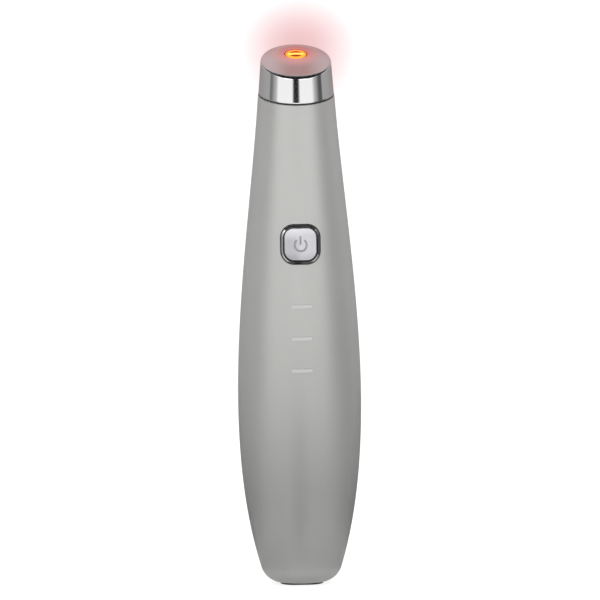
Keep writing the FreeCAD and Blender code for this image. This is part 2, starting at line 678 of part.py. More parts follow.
foot = new_body("foot")
foot_pad = rounded_rectangle(new_sketch(foot, "XY_Plane"), "dim.foot_wide", "dim.foot_deep",
                             "dim.foot_corner")
foot_base = feature(foot, "Pad", foot_pad, "dim.foot_proud + dim.foot_seat")
doc.recompute()
lowest_edges = ["Edge%d" % (k + 1) for k, edge in enumerate(foot.Shape.Edges)
                if edge.BoundBox.ZMax < size("foot_proud") / 2]
foot_rounding = foot.newObject("PartDesign::Fillet", "foot_rounding")
foot_rounding.Base = (foot_base, lowest_edges)
bind(foot_rounding, Radius="dim.foot_edge")
foot_neck = rounded_rectangle(new_sketch(foot, "XY_Plane", "dim.foot_proud + dim.foot_seat"),
                              "dim.foot_wide - 2*dim.foot_groove",
                              "dim.foot_deep - 2*dim.foot_groove",
                              "dim.foot_corner - dim.foot_groove")
feature(foot, "Pad", foot_neck, "dim.wall - dim.foot_seat + dim.fit")
foot_lid = rounded_rectangle(new_sketch(foot, "XY_Plane", "%s + dim.fit" % FLOOR_TOP),
                             "dim.foot_wide - 2*dim.fit", "dim.foot_deep - 2*dim.fit",
                             "dim.foot_corner - dim.fit")
feature(foot, "Pad", foot_lid, "dim.foot_top")
foot_opening = rounded_rectangle(new_sketch(foot, "XY_Plane"),
                                 "dim.port_wide + 2*dim.port_room",
                                 "dim.port_tall + 2*dim.port_room",
                                 "dim.port_corner + dim.port_room")
feature(foot, "Pocket", foot_opening, "%s + dim.wall + dim.foot_top" % FLOOR_TOP, True)
keep(foot, "base_cap")

# ---------------------------------------------------------------- charging port

port = new_body("port")
port_can = rounded_rectangle(new_sketch(port, "XY_Plane", "dim.port_mouth"),
                             "dim.port_wide", "dim.port_tall", "dim.port_corner")
feature(port, "Pad", port_can, "dim.port_long")
port_cavity = rounded_rectangle(new_sketch(port, "XY_Plane", "dim.port_mouth"),
                                "dim.port_wide - 2*dim.port_sheet",
                                "dim.port_tall - 2*dim.port_sheet",
                                "dim.port_corner - dim.port_sheet")
feature(port, "Pocket", port_cavity, "dim.port_long - dim.port_sheet", True)
keep(port, "usb_port_shell")

tongue = new_body("tongue")
port_end = "dim.port_mouth + dim.port_long - dim.port_sheet"
insulator = rounded_rectangle(new_sketch(tongue, "XY_Plane",
                                         "%s - dim.bearing_gap - dim.port_back" % port_end),
                              "dim.port_wide - 2*dim.port_sheet - 2*dim.bearing_gap",
                              "dim.port_tall - 2*dim.port_sheet - 2*dim.bearing_gap",
                              "dim.port_corner - dim.port_sheet - dim.bearing_gap")
feature(tongue, "Pad", insulator, "dim.port_back")
blade = rectangle(new_sketch(tongue, "XY_Plane", "%s - dim.bearing_gap - dim.port_back" % port_end),
                  about("0", "dim.tongue_wide"), about("0", "dim.tongue_thick"))
feature(tongue, "Pad", blade, "dim.tongue_long", True)
keep(tongue, "usb_port_tongue")

# ---------------------------------------------------------------- board and what it carries

board = new_body("board")
board_outline = polygon(new_sketch(board, "XZ_Plane", "-%s" % BOARD_BACK), [
    ("-dim.board_foot_wide/2", "dim.board_low"),
    ("dim.board_foot_wide/2", "dim.board_low"),
    ("dim.board_foot_wide/2", "dim.board_foot_top"),
    ("dim.board_wide/2", "dim.board_foot_top + dim.board_wide/2 - dim.board_foot_wide/2"),
    ("dim.board_wide/2", BOARD_TOP),
    ("-dim.board_wide/2", BOARD_TOP),
    ("-dim.board_wide/2", "dim.board_foot_top + dim.board_wide/2 - dim.board_foot_wide/2"),
    ("-dim.board_foot_wide/2", "dim.board_foot_top")])
feature(board, "Pad", board_outline, "dim.board_thick")
board_holes = new_sketch(board, "XZ_Plane", "-%s" % BOARD_BACK)
for height in BOARD_SCREWS.values():
    circle(board_holes, "dim.screw_half + dim.slide", "0", height)
feature(board, "Pocket", board_holes, "dim.board_thick", True)
keep(board, "main_board")


def screw(name):
    """Pan head screw with a cross recess, driven from behind the board into its boss."""
    body = new_body("screw_" + name)
    height = BOARD_SCREWS[name]
    at_head = "-%s - dim.screw_head_tall" % BOARD_BACK
    head = circle(new_sketch(body, "XZ_Plane", at_head), "dim.screw_head_half", "0", height)
    feature(body, "Pad", head, "dim.screw_head_tall")
    thread = circle(new_sketch(body, "XZ_Plane", at_head), "dim.screw_half", "0", height)
    feature(body, "Pad", thread, "dim.screw_head_tall + dim.screw_long - dim.bearing_gap")
    for wide, tall in (("dim.screw_head_half", "dim.cross_wide"),
                       ("dim.cross_wide", "dim.screw_head_half")):
        slot = rectangle(new_sketch(body, "XZ_Plane", at_head), about("0", wide),
                         about(height, tall))
        feature(body, "Pocket", slot, "dim.cross_deep", True)
    return body


keep(group("screws", screw("low"), screw("high")), "board_screws")

switch = new_body("switch")
switch_box = rectangle(new_sketch(switch, "XZ_Plane", "-%s" % BOARD_FRONT),
                       about("0", "dim.switch_wide"),
                       about("dim.button_height", "dim.switch_wide"))
feature(switch, "Pad", switch_box, "dim.switch_tall")
switch_hole = circle(new_sketch(switch, "XZ_Plane", "-%s" % SWITCH_FRONT),
                     "dim.plunger_half + dim.fit", "0", "dim.button_height")
feature(switch, "Pocket", switch_hole,
        "dim.plunger_inside + dim.button_travel + dim.bearing_gap")
keep(switch, "tact_switch")

plunger = new_body("plunger")
plunger_face = circle(new_sketch(plunger, "XZ_Plane",
                                 "-(%s + dim.plunger_inside)" % SWITCH_FRONT),
                      "dim.plunger_half", "0", "dim.button_height")
feature(plunger, "Pad", plunger_face, "dim.plunger_inside + dim.plunger_proud")
keep(plunger, "switch_plunger")

keep(group("lights", *[slab("light_%d" % k, about("0", "dim.mode_led_wide"),
                            about(height, "dim.mode_led_wide/2"), BOARD_FRONT,
                            "dim.mode_led_tall")
                       for k, height in enumerate(indicators)]), "mode_leds")
keep(slab("chip", about("0", "dim.chip_wide"), about("dim.chip_height", "dim.chip_wide"),
          BOARD_FRONT, "dim.chip_tall"), "control_chip")
keep(slab("charger", about("0", "dim.charger_wide"),
          about("dim.charger_height", "dim.charger_wide"),
          "(%s + dim.chip_tall)" % BOARD_BACK, "dim.chip_tall"), "charger_chip")
passives = []
for line in range(int(size("passive_rows"))):
    for side in (-1, 1):
        passives.append(slab("passive_%d_%d" % (line, side + 1),
                             about("%d*dim.passive_side" % side, "dim.passive_wide"),
                             about("dim.passive_low + %d*dim.passive_pitch" % line,
                                   "dim.passive_long"), BOARD_FRONT, "dim.passive_tall"))
keep(group("passives", *passives), "board_passives")

# ---------------------------------------------------------------- indicator light guide

guide = new_body("guide")
guide_plate = rectangle(new_sketch(guide, "XZ_Plane", "-%s" % GUIDE_BACK),
                        about("0", "dim.guide_wide"),
                        ("%s - dim.guide_margin" % indicators[0],
                         "%s + dim.guide_margin" % indicators[-1]))
feature(guide, "Pad", guide_plate, "dim.guide_thick")
guide_bars = new_sketch(guide, "XZ_Plane", "-%s" % GUIDE_BACK)
guide_pipes = new_sketch(guide, "XZ_Plane", "-%s" % GUIDE_BACK)
for height in indicators:
    rectangle(guide_bars, about("0", "dim.bar_wide"), about(height, "dim.bar_tall"))
    rectangle(guide_pipes, about("0", "dim.pipe_wide"), about(height, "dim.pipe_tall"))
feature(guide, "Pad", guide_bars, "dim.belly_half")
feature(guide, "Pad", guide_pipes,
        "%s - dim.mode_led_tall - dim.pipe_gap - %s" % (BOARD_FRONT, GUIDE_BACK), True)
guide_holes = new_sketch(guide, "XZ_Plane", "-%s" % GUIDE_BACK)
for height in indicators[:-1]:
    circle(guide_holes, "dim.peg_half + dim.fit", "0", "%s + dim.indicator_pitch/2" % height)
feature(guide, "Pocket", guide_holes, "dim.guide_thick", True)
keep(common("guide_trimmed", guide, outer), "indicator_light_guide")

# ---------------------------------------------------------------- button and its frame

bezel_ring = cut("bezel_ring",
                 common("bezel_top", round_block("bezel_blank", "dim.bezel_wide",
                                                 "dim.bezel_wide", "dim.bezel_corner",
                                                 "dim.button_height", BEZEL_BACK, far_front),
                        frame_face), middle)
bezel_neck = common("bezel_neck",
                    round_block("bezel_neck_blank", neck_wide, neck_wide, neck_corner,
                                "dim.button_height", BEZEL_BACK, far_front), frame_face)
bezel_bore = round_block("bezel_bore", "dim.bezel_wide - 2*dim.bezel_ring",
                         "dim.bezel_wide - 2*dim.bezel_ring",
                         "dim.bezel_corner - dim.bezel_ring", "dim.button_height",
                         SWITCH_FRONT, far_front)
keep(cut("bezel_cut", fuse("bezel_solid", bezel_ring, bezel_neck), bezel_bore), "button_bezel")

button = round_block("button", BUTTON_WIDE, BUTTON_WIDE, BUTTON_CORNER,
                     "dim.button_height", LIP_BACK, "-dim.belly_half")
button_flange = rounded_rectangle(new_sketch(button, "XZ_Plane", "-%s" % LIP_BACK),
                                  "%s + 2*dim.button_lip" % BUTTON_WIDE,
                                  "%s + 2*dim.button_lip" % BUTTON_WIDE,
                                  "%s + dim.button_lip" % BUTTON_CORNER,
                                  "dim.button_height")
feature(button, "Pad", button_flange, "dim.button_lip_thick")
button_nib = circle(new_sketch(button, "XZ_Plane", "-%s" % LIP_BACK), "dim.nib_half", "0",
                    "dim.button_height")
feature(button, "Pad", button_nib, "%s - dim.bearing_gap - %s" % (PLUNGER_TIP, LIP_BACK), True)

# the power sign, engraved in the button's face: an open ring and a bar in its opening
sign_height = "(dim.button_height - dim.sign_below)"
sign_front = "(%s - dim.bezel_proud)" % FACE
sign_edges = [rod_forward("sign_" + name, "dim.sign_half + dim.sign_line*%s" % share, "0",
                          sign_height, BEZEL_BACK, sign_front)
              for name, share in (("outside", "0.5"), ("inside", "-0.5"))]
sign_opening = new_body("sign_opening")
opening_side = "2*dim.sign_half*tan(dim.sign_gap)"
opening_top = "%s + 2*dim.sign_half" % sign_height
wedge = polygon(new_sketch(sign_opening, "XZ_Plane", "-%s" % BEZEL_BACK),
                [("0", sign_height), (opening_side, opening_top),
                 ("-" + opening_side, opening_top)])
feature(sign_opening, "Pad", wedge, "%s - %s" % (BEZEL_BACK, sign_front))
sign_bar = box("sign_bar", about("0", "dim.sign_line"), (sign_front, BEZEL_BACK),
               ("%s + dim.sign_bar_low" % sign_height, "%s + dim.sign_bar_top" % sign_height))
sign = cut("sign", fuse("sign_lines", cut("sign_ring", *sign_edges, sign_opening), sign_bar),
           sign_floor)
keep(cut("button_engraved", common("button_cut", button, button_face), sign), "power_button")

# ---------------------------------------------------------------- metal head

head_top_height = "(%s + dim.head_wall + 2*dim.dome_rise)" % RIM
cone = doc.addObject("Part::Cone", "head_cone")
cone_low = "(%s - dim.head_half)" % SEAM
taper = "(dim.head_taper/dim.head_tall)"
bind(cone, Radius1="dim.head_half*(1 + %s)" % taper,
     Radius2="%s - %s*(%s - %s)" % (RIM_HALF, taper, head_top_height, RIM),
     Height="%s - %s" % (head_top_height, cone_low))
place(cone, z=cone_low)


def dome(label, radius):
    """Ball about the centre of the domed top."""
    ball = doc.addObject("Part::Sphere", label)
    ball.Placement.Rotation = Rotation(Vector(0, 1, 0), 90)
    bind(ball, Radius=radius)
    return place(ball, y="-%s*sin(dim.head_tilt)" % DOME_CENTRE,
                 z="%s + %s*cos(dim.head_tilt)" % (RIM, DOME_CENTRE))


def on_light_axis(thing, height):
    """Set a thing on the tilted axis of the head's light."""
    tip(thing)
    return place(thing, y="-(%s)*sin(dim.head_tilt)" % height,
                 z="%s + (%s)*cos(dim.head_tilt)" % (RIM, height))


head_blank = common("head_blank", cone, dome("outer_dome", "dim.dome_radius"))
doc.recompute()
rim = [k + 1 for k, edge in enumerate(head_blank.Shape.Edges)
       if edge.BoundBox.ZMin > worked_out(SEAM) and edge.Length > worked_out(RIM_HALF)]
head_rounded = doc.addObject("Part::Fillet", "head_rounded")
head_rounded.Base = head_blank
head_rounded.Edges = [(k, size("rim_round"), size("rim_round")) for k in rim]

head_hollow = common("head_hollow",
                     cylinder("head_bore", HEAD_BORE, "dim.cutter", z=cone_low),
                     dome("inner_dome", INNER_DOME))
window = on_light_axis(cylinder("window", "dim.window_half", "dim.dome_radius"),
                       "(%s - dim.dome_radius/2)" % INNER_DOME + " + " + DOME_CENTRE)
bevel = doc.addObject("Part::Cone", "window_edge")
bind(bevel, Radius1="dim.window_half", Radius2="dim.window_half + 3*dim.window_bevel",
     Height="3*dim.window_bevel")
window_edge = ("%s + sqrt(dim.dome_radius^2 - dim.window_half^2) - dim.window_bevel"
               % DOME_CENTRE)
on_light_axis(bevel, window_edge)
gasket_rise = "dim.gasket_thick/cos(dim.seam_tilt)"
above_gasket = block_above("above_gasket", "%s + %s" % (SEAM, gasket_rise), "dim.seam_tilt")
keep(cut("head_cut", common("head_above_seam", head_rounded, above_gasket), head_hollow,
         window, bevel), "massage_head")

gasket_disc = cut("gasket_disc",
                  cylinder("gasket_blank", "dim.head_half - dim.gasket_inset",
                           "dim.cutter/2", z=STATIONS["upper"]),
                  cylinder("gasket_bore", HEAD_BORE, "dim.cutter", z="dim.button_height"))
keep(cut("gasket_cut", common("gasket_above_seam", gasket_disc, above_seam), above_gasket),
     "head_gasket")

# ---------------------------------------------------------------- head light and heater

lens_half = "(dim.window_half - dim.fit)"
lens_crown = ("(%s + sqrt(dim.dome_radius^2 - dim.window_half^2) - dim.lens_recess)"
              % DOME_CENTRE)
lens = turned("lens", [
    ("0", LENS_CEILING),
    ("dim.lens_flange_half - dim.lens_skirt", LENS_CEILING),
    ("dim.lens_flange_half - dim.lens_skirt", "%s + dim.bearing_gap" % LED_BOARD_TOP),
    ("dim.lens_flange_half", "%s + dim.bearing_gap" % LED_BOARD_TOP),
    ("dim.lens_flange_half", LENS_SHOULDER),
    (lens_half, LENS_SHOULDER),
    (lens_half, "%s - dim.fit" % lens_crown),
    ("%s - dim.lens_recess" % lens_half, lens_crown),
    ("0", lens_crown)])
keep(on_light_axis(lens, "0"), "head_lens")

led_board = new_body("led_board")
led_disc = circle(new_sketch(led_board, "XY_Plane", CARRIER_TOP), "dim.led_board_half")
feature(led_board, "Pad", led_disc, "dim.led_board_thick")
keep(on_light_axis(led_board, "0"), "head_board")

led = new_body("led")
led_outline = rectangle(new_sketch(led, "XY_Plane", LED_BOARD_TOP),
                        about("0", "dim.led_wide"), about("0", "dim.led_wide"))
feature(led, "Pad", led_outline, "dim.led_tall")
keep(on_light_axis(led, "0"), "head_led")


def under_dome(radius, gap):
    """Height under the inner dome at a distance from the light's axis."""
    return "(%s + sqrt(%s^2 - (%s)^2) - (%s))" % (DOME_CENTRE, INNER_DOME, radius, gap)


film_under = "dim.bearing_gap + dim.heater_thick"
heater_out = "(%s - dim.heater_margin)" % HEAD_BORE
film = turned("film", [
    ("dim.heater_in", under_dome("dim.heater_in", "dim.bearing_gap")),
    ("dim.heater_in", under_dome("dim.heater_in", film_under)),
    (heater_out, under_dome(heater_out, film_under)),
    (heater_out, under_dome(heater_out, "dim.bearing_gap"))])
tail = rectangle(new_sketch(film, "XY_Plane", "%s + dim.bearing_gap" % LED_BOARD_TOP),
                 about("0", "dim.heater_tail_wide"),
                 ("dim.heater_tail_at", "dim.heater_tail_at + dim.heater_thick"))
tail_end = under_dome("dim.heater_tail_at + dim.heater_thick",
                      "dim.bearing_gap + dim.heater_thick/2")
feature(film, "Pad", tail, "%s - %s - dim.bearing_gap" % (tail_end, LED_BOARD_TOP))
keep(on_light_axis(film, "0"), "heater_film")

sensor = new_body("sensor")
sensor_side = "((dim.heater_in + %s)/2)" % heater_out
sensor_top = under_dome("%s + dim.sensor_wide/2" % sensor_side, film_under + " + dim.bearing_gap")
sensor_outline = rectangle(new_sketch(sensor, "XY_Plane", "%s - dim.sensor_tall" % sensor_top),
                           about("0", "dim.sensor_long"),
                           about("-%s" % sensor_side, "dim.sensor_wide"))
feature(sensor, "Pad", sensor_outline, "dim.sensor_tall")
keep(on_light_axis(sensor, "0"), "thermistor")

# ---------------------------------------------------------------- carrier

socket_top = "(%s + dim.slide)" % MOTOR_TOP
room_half = "(dim.weight_half + dim.weight_room)"
room_top = "(%s + dim.weight_room)" % WEIGHT_TOP
tube_half = "(%s + dim.carrier_wall)" % SOCKET_HALF
carrier_half = "(%s - dim.slide)" % HEAD_BORE
groove_low = "(%s - dim.collar_thick/2 - dim.lip_gap)" % GROOVE
groove_high = "(%s + dim.collar_thick/2 + dim.lip_gap)" % GROOVE
flange_low = "(%s - dim.collar_thick)" % groove_low
groove_half = "(%s - dim.carrier_groove_deep)" % carrier_half
carrier_blank = turned("carrier_blank", [
    (SOCKET_HALF, CARRIER_LOW),
    (tube_half, CARRIER_LOW),
    (tube_half, flange_low),
    (carrier_half, flange_low),
    (carrier_half, groove_low),
    (groove_half, groove_low),
    (groove_half, groove_high),
    (carrier_half, groove_high),
    (carrier_half, head_top_height),
    ("0", head_top_height),
    ("0", room_top),
    (room_half, room_top),
    (room_half, socket_top),
    (SOCKET_HALF, socket_top)])
lead_channel = box("lead_channel", about("0", "2*dim.carrier_channel"),
                   (CHANNEL_FLOOR, "dim.cutter"), ("dim.button_height", head_top_height))
above_carrier = block_above("above_carrier",
                            "%s + %s/cos(dim.head_tilt)" % (RIM, CARRIER_TOP),
                            "dim.head_tilt")
keep(cut("carrier_cut", carrier_blank, lead_channel, above_carrier), "head_carrier")

# ---------------------------------------------------------------- vibration motor

bore_low = "(%s - dim.shaft_inside - dim.bearing_gap)" % MOTOR_TOP
bore_half = "(dim.shaft_half + dim.shaft_gap)"
keep(turned("can", [
    ("0", MOTOR_LOW),
    ("dim.motor_half", MOTOR_LOW),
    ("dim.motor_half", MOTOR_TOP),
    (bore_half, MOTOR_TOP),
    (bore_half, bore_low),
    ("0", bore_low)]), "motor_can")
keep(cylinder("end_cap", "dim.motor_half - dim.fit", "dim.motor_cap_thick",
              z="%s - dim.motor_cap_thick" % MOTOR_LOW), "motor_end_cap")
keep(turned("sleeve", [
    ("dim.motor_half + dim.fit", CARRIER_LOW),
    (SLEEVE_HALF, CARRIER_LOW),
    (SLEEVE_HALF, MOTOR_TOP),
    ("dim.motor_half + dim.fit", MOTOR_TOP)]), "motor_sleeve")
shaft_low = "(%s - dim.shaft_inside)" % MOTOR_TOP
keep(cylinder("shaft", "dim.shaft_half", "%s - %s" % (WEIGHT_TOP, shaft_low), z=shaft_low),
     "motor_shaft")
half_disc = cylinder("half_disc", "dim.weight_half", "dim.weight_long", z=WEIGHT_LOW)
half_disc.Angle = 180
weight_hub = cylinder("weight_hub", "dim.weight_hub_half", "dim.weight_long", z=WEIGHT_LOW)
weight_bore = cylinder("weight_bore", "dim.shaft_half + dim.shaft_gap/2", "dim.cutter",
                       z=MOTOR_LOW)
keep(cut("weight", fuse("weight_solid", half_disc, weight_hub), weight_bore),
     "eccentric_weight")

# ---------------------------------------------------------------- cell

keep(cylinder("cell", "dim.cell_half", "dim.cell_long", y=CELL_BACKSET, z="dim.cell_low"),
     "battery_cell")
tab_back = "(%s + dim.cell_half - dim.stop_deep)" % CELL_BACKSET
tab_front = "(%s - dim.tab_long)" % tab_back
keep(group("tabs", *[box("tab_" + name, about("0", "dim.tab_wide"), (tab_front, tab_back), z)
                     for name, z in (
                         ("low", ("dim.cell_low - dim.tab_thick", "dim.cell_low")),
                         ("high", (CELL_TOP, "%s + dim.tab_thick" % CELL_TOP)))]),
     "battery_tabs")
keep(slab("pad", about("0", "dim.cell_pad_wide"),
          ("dim.cell_low + dim.cell_pad_margin", "%s - dim.cell_pad_margin" % CELL_TOP),
          "(%s + dim.cell_pad)" % BOARD_BACK, "dim.cell_pad"), "battery_pad")

# ---------------------------------------------------------------- leads


def lead(label, x, back, start, end, upwards=1):
    """Insulated lead down (or up) from a piece, then forwards to the back of the board."""
    body = new_body(label)
    path = new_sketch(body, "YZ_Plane", x)
    bend = worked_out("dim.lead_bend")
    y, z0, z1 = [worked_out(one) for one in (back, start, end)]
    board_face = worked_out(BOARD_BACK)
    corner = z1 - upwards * bend
    path.addGeometry(Part.LineSegment(Vector(y, z0, 0), Vector(y, corner, 0)), False)
    turn = Part.Circle(Vector(y - bend, corner, 0), Vector(0, 0, 1), bend)
    first, last = (0, QUARTER) if upwards > 0 else (-QUARTER, 0)
    path.addGeometry(Part.ArcOfCircle(turn, first, last), False)
    path.addGeometry(Part.LineSegment(Vector(y - bend, z1, 0), Vector(board_face, z1, 0)), False)
    near, far = (1, 2) if upwards > 0 else (2, 1)
    path.addConstraint(Sketcher.Constraint("Tangent", 0, 2, 1, near))
    path.addConstraint(Sketcher.Constraint("Tangent", 1, far, 2, 1))
    path.addConstraint(Sketcher.Constraint("Vertical", 0))
    path.addConstraint(Sketcher.Constraint("Horizontal", 2))
    hold(path, "DistanceX", -1, 1, 0, 1, back)
    hold(path, "DistanceY", -1, 1, 0, 1, start)
    hold(path, "DistanceX", -1, 1, 2, 2, BOARD_BACK)
    hold(path, "DistanceY", -1, 1, 2, 2, end)
    hold(path, "Radius", 1, "dim.lead_bend")
    section = circle(new_sketch(body, "XY_Plane", start), "dim.lead_half", x, back)
    pipe = body.newObject("PartDesign::AdditivePipe", label + "_pipe")
    pipe.Profile = section
    pipe.Spine = (path, ["Edge1", "Edge2", "Edge3"])
    return body


cell_lead_back = "(%s + dim.tab_long/2)" % tab_front
keep(group("cell_leads",
           lead("cell_lead_low", "0", cell_lead_back, "dim.cell_low - dim.tab_thick",
                "dim.cell_low - dim.tab_thick - dim.cell_lead_rise", -1),
           lead("cell_lead_high", "0", cell_lead_back, "%s + dim.tab_thick" % CELL_TOP,
                "%s + dim.tab_thick + dim.cell_lead_rise" % CELL_TOP)), "battery_leads")
keep(group("motor_wires", *[
    lead("motor_lead_%d" % (side + 1), "%d*dim.motor_lead_side" % side,
         "dim.motor_lead_back", "%s - dim.motor_cap_thick" % MOTOR_LOW,
         "%s - dim.motor_lead_below" % BOARD_TOP, -1) for side in (-1, 1)]), "motor_leads")
head_lead_back = "(%s + dim.lead_half + dim.fit)" % CHANNEL_FLOOR
head_lead_top = ("%s + %s/cos(dim.head_tilt) + %s*tan(dim.head_tilt) - dim.slide"
                 % (RIM, CARRIER_TOP, CHANNEL_FLOOR))
head_lead_places = ["(%g*dim.head_lead_pitch)" % (k - (size("head_lead_count") - 1) / 2)
                    for k in range(int(size("head_lead_count")))]
keep(group("head_wires", *[
    lead("head_lead_%d" % k, x, head_lead_back, head_lead_top,
         "%s - dim.head_lead_below" % BOARD_TOP, -1)
    for k, x in enumerate(head_lead_places)]), "head_leads")

# ---------------------------------------------------------------- check and export

doc.recompute()
for thing in doc.Objects:
    if "Invalid" in thing.State or "Error" in thing.State:
        raise RuntimeError("%s did not recompute: %s" % (thing.Name, thing.State))
for thing in nodes:
    if thing.Shape.isNull() or not thing.Shape.isValid() or not thing.Shape.Solids:
        raise RuntimeError("%s has no valid solid" % thing.Label)

os.makedirs("parts", exist_ok=True)
for thing in nodes:
    thing.Shape.exportStep("parts/%s.step" % thing.Label)
    print("%-22s solids %2d  volume %9.2f mm3" % (thing.Label, len(thing.Shape.Solids),
                                                  thing.Shape.Volume))
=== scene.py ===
"""Looks of a heated eye massager wand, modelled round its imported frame.

Run as a script it makes every piece, the finishes and the studio.  The case, the metal head, the
button and its frame are surfaces of two parameters, worked out as whole arrays.  All lengths are
in metres; +Z runs up the wand and -Y is its front.
"""

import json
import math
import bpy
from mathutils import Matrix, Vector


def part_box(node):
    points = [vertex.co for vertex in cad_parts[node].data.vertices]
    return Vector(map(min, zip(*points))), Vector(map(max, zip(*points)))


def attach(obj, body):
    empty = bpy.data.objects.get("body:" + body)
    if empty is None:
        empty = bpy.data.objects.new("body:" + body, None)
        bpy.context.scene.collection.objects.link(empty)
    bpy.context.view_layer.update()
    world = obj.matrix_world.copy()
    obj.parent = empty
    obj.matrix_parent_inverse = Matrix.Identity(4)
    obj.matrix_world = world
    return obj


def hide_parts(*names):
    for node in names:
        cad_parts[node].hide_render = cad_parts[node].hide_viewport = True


bl_info = {
    "name": "Eye massager wand",
    "version": (1, 0, 0),
    "blender": (4, 5, 0),
    "location": "3D View > Sidebar > Wand",
    "description": "Pieces, finishes and studio of a heated eye massager wand",
    "category": "Object",
}

import bmesh
import bpy
import numpy as np
from mathutils import Matrix, Quaternion, Vector

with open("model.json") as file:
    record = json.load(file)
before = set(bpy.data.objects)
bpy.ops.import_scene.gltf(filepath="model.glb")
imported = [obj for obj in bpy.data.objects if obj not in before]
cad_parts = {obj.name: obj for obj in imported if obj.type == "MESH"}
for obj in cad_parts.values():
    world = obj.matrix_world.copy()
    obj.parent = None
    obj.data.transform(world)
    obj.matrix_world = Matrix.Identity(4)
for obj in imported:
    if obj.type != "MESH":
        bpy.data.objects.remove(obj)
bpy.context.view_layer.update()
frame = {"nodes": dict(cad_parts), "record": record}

MM = 0.001
HALF_TURN = math.pi

# ------------------------------------------------------------------ the frame's own sizes

# the case's form: height of each section, half width, and how much smaller its half depth is
SECTIONS = np.array([(0.35, 9.1, 1.1), (18.0, 13.65, 2.0), (50.0, 16.0, 2.4),
                     (89.9, 13.55, 1.45), (109.9, 11.5, 0.7), (130.9, 9.7, 0.0)]) * MM
WALL = 1.8 * MM
SPLIT_GAP = 0.1 * MM
LIP_TALL = 1.2 * MM
LIP_GAP = 0.1 * MM
LIP_COLUMNS = 12
SKIN_BACK = 0.01 * MM
BASE_ROUND = 5.7 * MM
FLOOR_ROUND = 2.0 * MM
SEAM_HEIGHT = 127.8 * MM
SEAM_TILT = math.radians(12.0)

GASKET_THICK = 0.4 * MM
HEAD_HALF = 9.8 * MM
RIM_HALF = 9.1 * MM
RIM_HEIGHT = 136.8 * MM
HEAD_TILT = math.radians(20.5)
DOME_RADIUS = 20.8 * MM
DOME_RISE = 2.1 * MM
RIM_ROUND = 1.0 * MM
HEAD_WALL = 1.2 * MM
WINDOW_HALF = 3.0 * MM
WINDOW_BEVEL = 0.35 * MM
LENS_RECESS = 0.2 * MM

frame_low, frame_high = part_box("button_bezel")
FRAME_HALF = (frame_high.x - frame_low.x) / 2
BUTTON_HEIGHT = (frame_high.z + frame_low.z) / 2
FRAME_CORNER = 3.6 * MM
FRAME_RING = 0.8 * MM
FRAME_DEEP = 2.9 * MM
FRAME_PROUD = 0.45 * MM
FRAME_STEP = 0.28 * MM
BUTTON_GAP = 0.15 * MM
BUTTON_PROUD = 0.25 * MM
FIT = 0.05 * MM

SIGN_GAP = math.radians(40.0)
SIGN_BELOW = 0.2 * MM
SIGN_BAR_LOW = 0.15 * MM
SIGN_BAR_TOP = 2.2 * MM

BARS = [(BUTTON_HEIGHT - 16.2 * MM - k * 8.3 * MM) for k in range(3)]
BAR_WIDE = 5.4 * MM
BAR_TALL = 0.95 * MM

foot_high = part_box("base_cap")[1]
FOOT_HALF = foot_high.x
FOOT_DEEP = foot_high.y
FOOT_CORNER = 3.9 * MM
FOOT_GROOVE = 0.5 * MM

# the head's tilted axis: where it crosses the rim's plane, its direction and two sides
RIM_CENTRE = np.array([0.0, 0.0, RIM_HEIGHT])
LIGHT_AXIS = np.array([0.0, -math.sin(HEAD_TILT), math.cos(HEAD_TILT)])
LIGHT_SIDE = np.array([1.0, 0.0, 0.0])
LIGHT_BACK = np.cross(LIGHT_AXIS, LIGHT_SIDE)
DOME_CENTRE = RIM_CENTRE + (DOME_RISE - DOME_RADIUS) * LIGHT_AXIS


# ------------------------------------------------------------------ settings


def length(name, default, description):
    return bpy.props.FloatProperty(name=name, description=description, default=default,
                                   unit="LENGTH", precision=5)


def colour(name, default, description):
    return bpy.props.FloatVectorProperty(name=name, description=description, default=default,
                                         size=3, subtype="COLOR", min=0.0, max=1.0)


class WandSizes(bpy.types.PropertyGroup):
    """Sizes that only the looks need"""
    edge_round: length("Edge round", 0.12 * MM, "Rounding of the moulded edges")
    frame_edge: length("Frame edge", 0.22 * MM, "Width of the frame's steep outer edge")
    # Painted shade along the frame's outer edge, where it meets the case
    outer_shade_width: length("Frame joint", 0.32 * MM, "Width of the dark line at the outer edge")
    # Painted shade along the frame's inner edge, by the button's gap
    frame_throat: length("Frame throat", 0.07 * MM, "Width of the dark line at the inner edge")
    frame_crown: length("Frame crown", 0.06 * MM, "Radius of the button frame's ridge")
    frame_slope: bpy.props.FloatProperty(name="Frame slope", default=math.radians(23.0),
                                         description="Slope of the frame's polished bevel",
                                         unit="ROTATION")
    button_round: length("Button round", 0.35 * MM, "Rounding of the button's edge")
    sign_half: length("Sign radius", 1.56 * MM, "Radius of the power sign's ring")
    sign_line: length("Sign line", 0.42 * MM, "Width of the power sign's lines")
    sign_deep: length("Sign depth", 0.10 * MM, "How deep the power sign is engraved")


class WandColours(bpy.types.PropertyGroup):
    """Colours of the outer pieces"""
    case: colour("Case", (0.54, 0.54, 0.525), "Satin lacquer of the case")
    metal: colour("Metal", (0.86, 0.86, 0.87), "Polished metal")
    rose: colour("Rose", (0.58, 0.36, 0.36), "Middle of the head's top, lit by its own light")
    # Painted light: the back of the head's top, paler and brighter than its front
    painted_back_light: colour("Back_top_light", (0.80, 0.77, 0.76), "Back of the head's top")
    # Painted light: the sides of the head's top, less rosy than the middle; the setting labelled
    # Satin holds this painted tone
    painted_top_light: colour("Satin", (0.59, 0.485, 0.49), "Sides of the head's top")
    glow: colour("Glow", (1.0, 0.25, 0.03), "Light in the window")
    button: colour("Button", (0.74, 0.74, 0.77), "Satin plating of the button")


# ------------------------------------------------------------------ meshes


